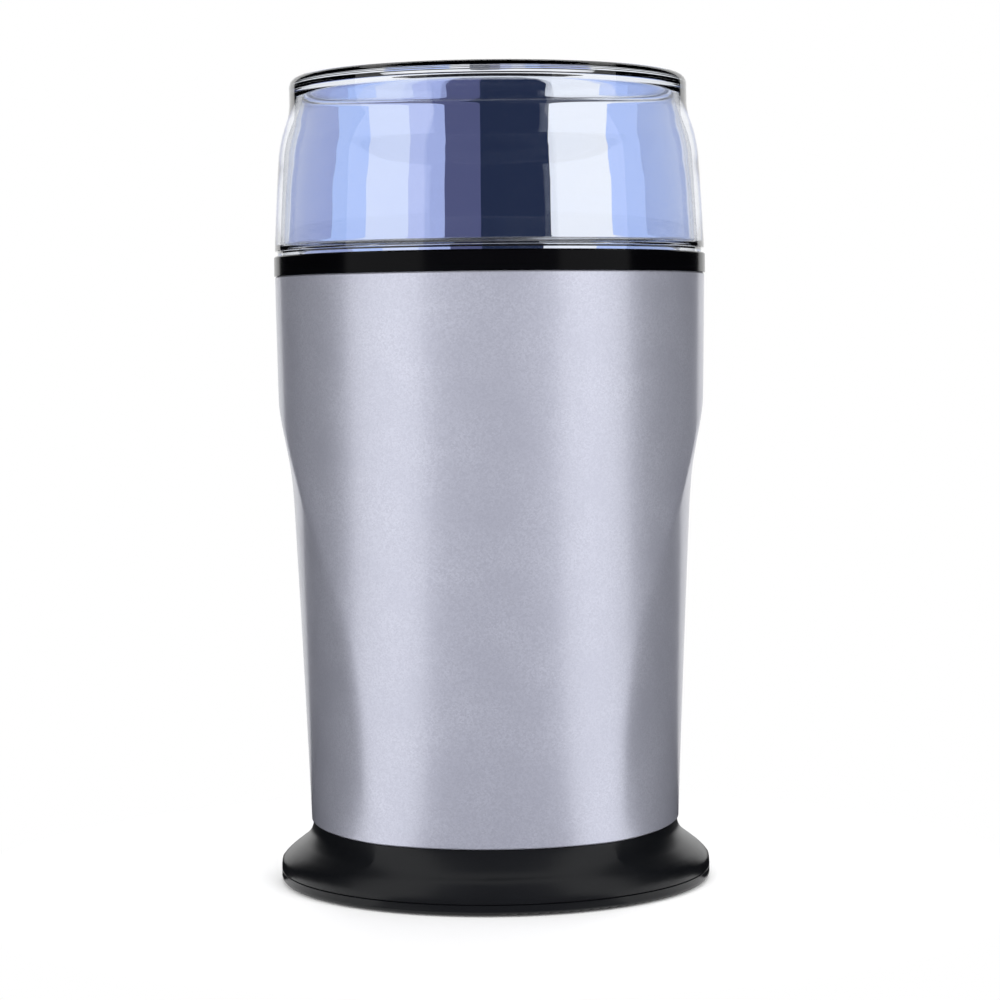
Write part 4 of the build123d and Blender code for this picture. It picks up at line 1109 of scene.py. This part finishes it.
    def make(self) -> None:
        """Makes the stacked cores, the wound coils and the springs."""
        for node, bottom_z, count in (
            ("stator_core", self.core_z, self.core_sheets),
            ("armature_core", self.armature_z, self.armature_sheets),
        ):
            self.seat(self.sheets(node, bottom_z, count), node, SHEET_STEEL)
        self.seat(self.coils(), "field_coils", COPPER_LOOP)
        self.seat(self.springs(), "brush_springs", ZINC_STEEL)


@dataclass
class Press(SubAssembly):
    """Inner frame with the press ring and its springs."""

    copies: ClassVar = {"inner_frame": GREY_NYLON, "press_ring": ACETAL}

    def make(self) -> None:
        """Finishes the springs, which are squeezed in MuJoCo, on their own solids."""
        springs = self.frame["nodes"]["return_springs"]
        springs.data.materials.clear()
        springs.data.materials.append(ZINC_STEEL.material())


@dataclass
class Switch(SubAssembly):
    """Microswitch that the press ring works, with its capacitor."""

    copies: ClassVar = {
        "switch_body": ACETAL,
        "switch_lever": ZINC_STEEL,
        "switch_button": RED_PBT,
        "switch_terminals": TURNED_BRASS,
        "suppression_capacitor": YELLOW_CASE,
    }
    screws: ClassVar = (
        Screws("switch_screws", [(x, 42.7, 60.0) for x in (-4.75, 4.75)], Facing.BACK, 1.9, 1.2, 1.05, 8.7),
    )


@dataclass
class CordInlet(SubAssembly):
    """Rubber bush and clamp where the mains lead goes in."""

    copies: ClassVar = {"cord_gland": NITRILE, "cord_clamp": ACETAL}
    screws: ClassVar = (
        Screws("clamp_screws", [(x, 31.0, 9.0) for x in (-7.5, 7.5)], Facing.UP, 2.1, 1.3, 1.05, 4.8),
    )


# --------------------------------------------------------------------- studio
class SeenIn(Enum):
    """What a card shows in."""

    GLOSS = "gloss"
    GLASS = "glass"


@dataclass(frozen=True)
class Card:
    """Curved glowing sheet round the object, by distance and height, that only gloss or only clear plastic
    shows. In gloss it is a painted reflection, in clear plastic a painted band seen through it.
    """

    name: str
    azimuths: tuple[float, float]
    profile: tuple[Spot, ...]
    colour: str
    seen_in: SeenIn


@dataclass(frozen=True)
class Lamp:
    """Soft rectangular lamp: azimuth in degrees from the camera's side, the rest in metres and watts."""

    name: str
    azimuth: float
    height: float
    away: float
    size: tuple[float, float]
    watts: float


# Distance and height of the cards' profiles. Upright ones run on along the floor, which would mirror white.
UPRIGHT = ((1.4, 1.8), (1.4, 0.001), (0.0475, 0.001))
BEHIND = ((0.6, 0.5), (0.6, 0.001))
OVERHEAD = ((0.5, 1.0), (0.001, 1.0))


@dataclass
class Studio:
    """Camera, floor, lamps and the glowing cards that paint reflections into the gloss and bands into the
    clear plastic.
    """

    distance: float = 0.625
    eye_z: float = 0.1197
    pitch: float = 3.35
    roll: float = -0.0105
    lens: float = 102.56
    shift: float = 0.008
    fill: float = 0.25
    floor_shade: float = 0.12
    fade_start: float = 0.05
    fade_end: float = 0.12
    floor_half: float = 3000.0
    aim_z: float = 0.09
    card_steps: int = 24
    lamps: tuple[Lamp, ...] = (
        Lamp("soft_left", -30, 0.35, 0.9, (0.6, 1.0), 10.5),
        Lamp("soft_right", 34, 0.35, 0.9, (0.6, 1.0), 11.0),
        Lamp("soft_top", 172, 1.0, 0.4, (0.6, 0.5), 7.0),
    )
    cards: tuple[Card, ...] = (
        # Painted reflections: the grey and dark gloss cards darken what the silver paint and the black ring
        # mirror, and the dark glass cards darken what shows through the lid. They light nothing.
        Card("grey_front", (-34, 36), UPRIGHT, "#74747C", SeenIn.GLOSS),
        Card("dark_front", (-34, 36), UPRIGHT, "#1C1C22", SeenIn.GLASS),
        Card("dark_left", (-148, -80), UPRIGHT, "#141418", SeenIn.GLOSS),
        Card("dark_right", (77, 146), UPRIGHT, "#141418", SeenIn.GLOSS),
        Card("dark_above", (0, 360), OVERHEAD, "#0C0C10", SeenIn.GLOSS),
        Card("dark_above_glass", (0, 360), OVERHEAD, "#0C0C10", SeenIn.GLASS),
        # Painted see-through bands: narrow glowing strips behind the lid that only the clear plastic shows,
        # giving its navy, violet, lilac, pale and sky-blue stripes.
        Card("painted_navy_band", (176.9, 180.4), BEHIND, "#192845", SeenIn.GLASS),
        Card("painted_violet_band", (180.4, 182.2), BEHIND, "#585C82", SeenIn.GLASS),
        Card("painted_lilac_band", (182.2, 184.1), BEHIND, "#BAC5F2", SeenIn.GLASS),
        Card("painted_pale_band", (184.1, 186.6), BEHIND, "#DDE6FF", SeenIn.GLASS),
        Card("painted_sky_band_left", (186.6, 189.3), BEHIND, "#B0C8FC", SeenIn.GLASS),
        Card("painted_dusk_band_left", (189.3, 200.0), BEHIND, "#909ED2", SeenIn.GLASS),
        Card("painted_sky_band_right", (170.7, 173.4), BEHIND, "#B5CBFE", SeenIn.GLASS),
        Card("painted_dusk_band_right", (160.0, 170.7), BEHIND, "#9CB0E2", SeenIn.GLASS),
    )

    def camera(self) -> None:
        """Places the camera in front, a little above the middle."""
        data = bpy.data.cameras.new("camera")
        data.lens, data.sensor_width, data.shift_x = self.lens, 36.0, self.shift
        data.clip_start, data.clip_end = 0.01, 50.0
        made = linked("camera", data)
        made.location = (0.0, -self.distance, self.eye_z)
        turn = Matrix.Rotation(math.radians(90 - self.pitch), 3, "X") @ Matrix.Rotation(self.roll, 3, "Z")
        made.rotation_euler = turn.to_euler()
        bpy.context.scene.camera = made

    def seen(self, tree: bpy.types.NodeTree) -> bpy.types.Node:
        """Tells what is seen from what is only lit.

        Args:
            tree: node tree to add to.

        Returns:
            A node that gives 1 for camera, glossy and transmission rays, and 0 for the rest.
        """
        ray = add_node(tree, "ShaderNodeLightPath").outputs
        first = (ray["Is Camera Ray"], ray["Is Glossy Ray"])
        first = add_node(tree, "ShaderNodeMath", first, operation="MAXIMUM")
        return add_node(tree, "ShaderNodeMath", (first, ray["Is Transmission Ray"]), operation="MAXIMUM")

    def world(self) -> None:
        """White to the camera, gloss and clear plastic, and a plain level of light on the object."""
        world = bpy.data.worlds.new("studio")
        bpy.context.scene.world = world
        world.use_nodes = True
        tree = world.node_tree
        tree.nodes.clear()
        level = add_node(tree, "ShaderNodeMapRange", {"Value": self.seen(tree), "To Min": self.fill})
        back = add_node(tree, "ShaderNodeBackground", {"Color": (1, 1, 1, 1), "Strength": level})
        add_node(tree, "ShaderNodeOutputWorld", {"Surface": back})

    def floor(self) -> None:
        """Pale floor that keeps the shadow of the object and fades to white away from it."""
        half = self.floor_half
        corners = [(-half, -half, 0.0), (half, -half, 0.0), (half, half, 0.0), (-half, half, 0.0)]
        made = mesh_object("floor", corners, [[0, 1, 2, 3]], 30)
        look = new_material("pale_floor")
        tree = look.node_tree
        place = add_node(tree, "ShaderNodeTexCoord").outputs["Object"]
        away = add_node(tree, "ShaderNodeVectorMath", (place,), operation="LENGTH").outputs["Value"]
        bounds = {"From Min": self.fade_start, "From Max": self.fade_end, "To Min": self.floor_shade}
        fade = add_node(tree, "ShaderNodeMapRange", {"Value": away, **bounds})
        share = add_node(tree, "ShaderNodeMath", (self.seen(tree), fade), operation="MULTIPLY")
        matt = add_node(tree, "ShaderNodeBsdfDiffuse", {"Color": linear("#FAFAFA")})
        glow = add_node(tree, "ShaderNodeEmission", {"Color": (1, 1, 1, 1), "Strength": 1.0})
        mixed = add_node(tree, "ShaderNodeMixShader", (share, matt, glow))
        add_node(tree, "ShaderNodeOutputMaterial", {"Surface": mixed})
        made.data.materials.append(look)

    def light(self, lamp: Lamp) -> None:
        """Adds one lamp that faces the object and shows in neither gloss nor clear plastic.

        Args:
            lamp: its place, size and strength.
        """
        data = bpy.data.lights.new(lamp.name, "AREA")
        data.shape, data.energy = "RECTANGLE", lamp.watts
        data.size, data.size_y = lamp.size
        made = linked(lamp.name, data)
        turn = math.radians(lamp.azimuth)
        made.location = (lamp.away * math.sin(turn), -lamp.away * math.cos(turn), lamp.height)
        aim = Vector((0, 0, self.aim_z)) - made.location
        made.rotation_euler = aim.to_track_quat("-Z", "Y").to_euler()
        made.visible_glossy = made.visible_transmission = False

    def hang(self, card: Card) -> None:
        """Hangs one card round the object.

        Args:
            card: its span, profile and colour, and what it shows in.
        """
        steps, points, faces = self.card_steps, [], []
        for i in range(steps + 1):
            turn = math.radians(card.azimuths[0] + (card.azimuths[1] - card.azimuths[0]) * i / steps)
            for away, z in card.profile:
                points.append((away * math.sin(turn) / MM, -away * math.cos(turn) / MM, z / MM))
        tall = len(card.profile)
        for i in range(steps):
            for j in range(tall - 1):
                low = i * tall + j
                faces.append([low, low + 1, low + tall + 1, low + tall])
        made = mesh_object(card.name, points, faces, 60)
        look = new_material(card.name)
        tree = look.node_tree
        # The card glows in its colour and is hidden from camera, diffuse and shadow rays, so it only paints
        # its colour into reflections and into what shows through the clear plastic.
        glow = add_node(tree, "ShaderNodeEmission", {"Color": linear(card.colour), "Strength": 1.0})
        add_node(tree, "ShaderNodeOutputMaterial", {"Surface": glow})
        made.data.materials.append(look)
        made.visible_camera = made.visible_diffuse = made.visible_shadow = made.visible_volume_scatter = False
        made.visible_glossy = card.seen_in is SeenIn.GLOSS
        made.visible_transmission = card.seen_in is SeenIn.GLASS

    def build(self) -> None:
        """Sets up the whole studio."""
        bpy.context.scene.view_settings.view_transform = "Standard"
        self.camera()
        self.world()
        self.floor()
        for lamp in self.lamps:
            self.light(lamp)
        for card in self.cards:
            self.hang(card)
        log.info("studio: camera, floor, %d lamps, %d cards", len(self.lamps), len(self.cards))


def main() -> None:
    """Loads the frame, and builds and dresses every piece."""
    logging.basicConfig(level=logging.INFO, format="%(message)s")
    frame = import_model()
    Studio().build()
    for kind in (Lid, Ring, Housing, Base, Bowl, Motor, Press, Switch, CordInlet):
        kind(frame).dress()


if __name__ == "__main__":
    main()
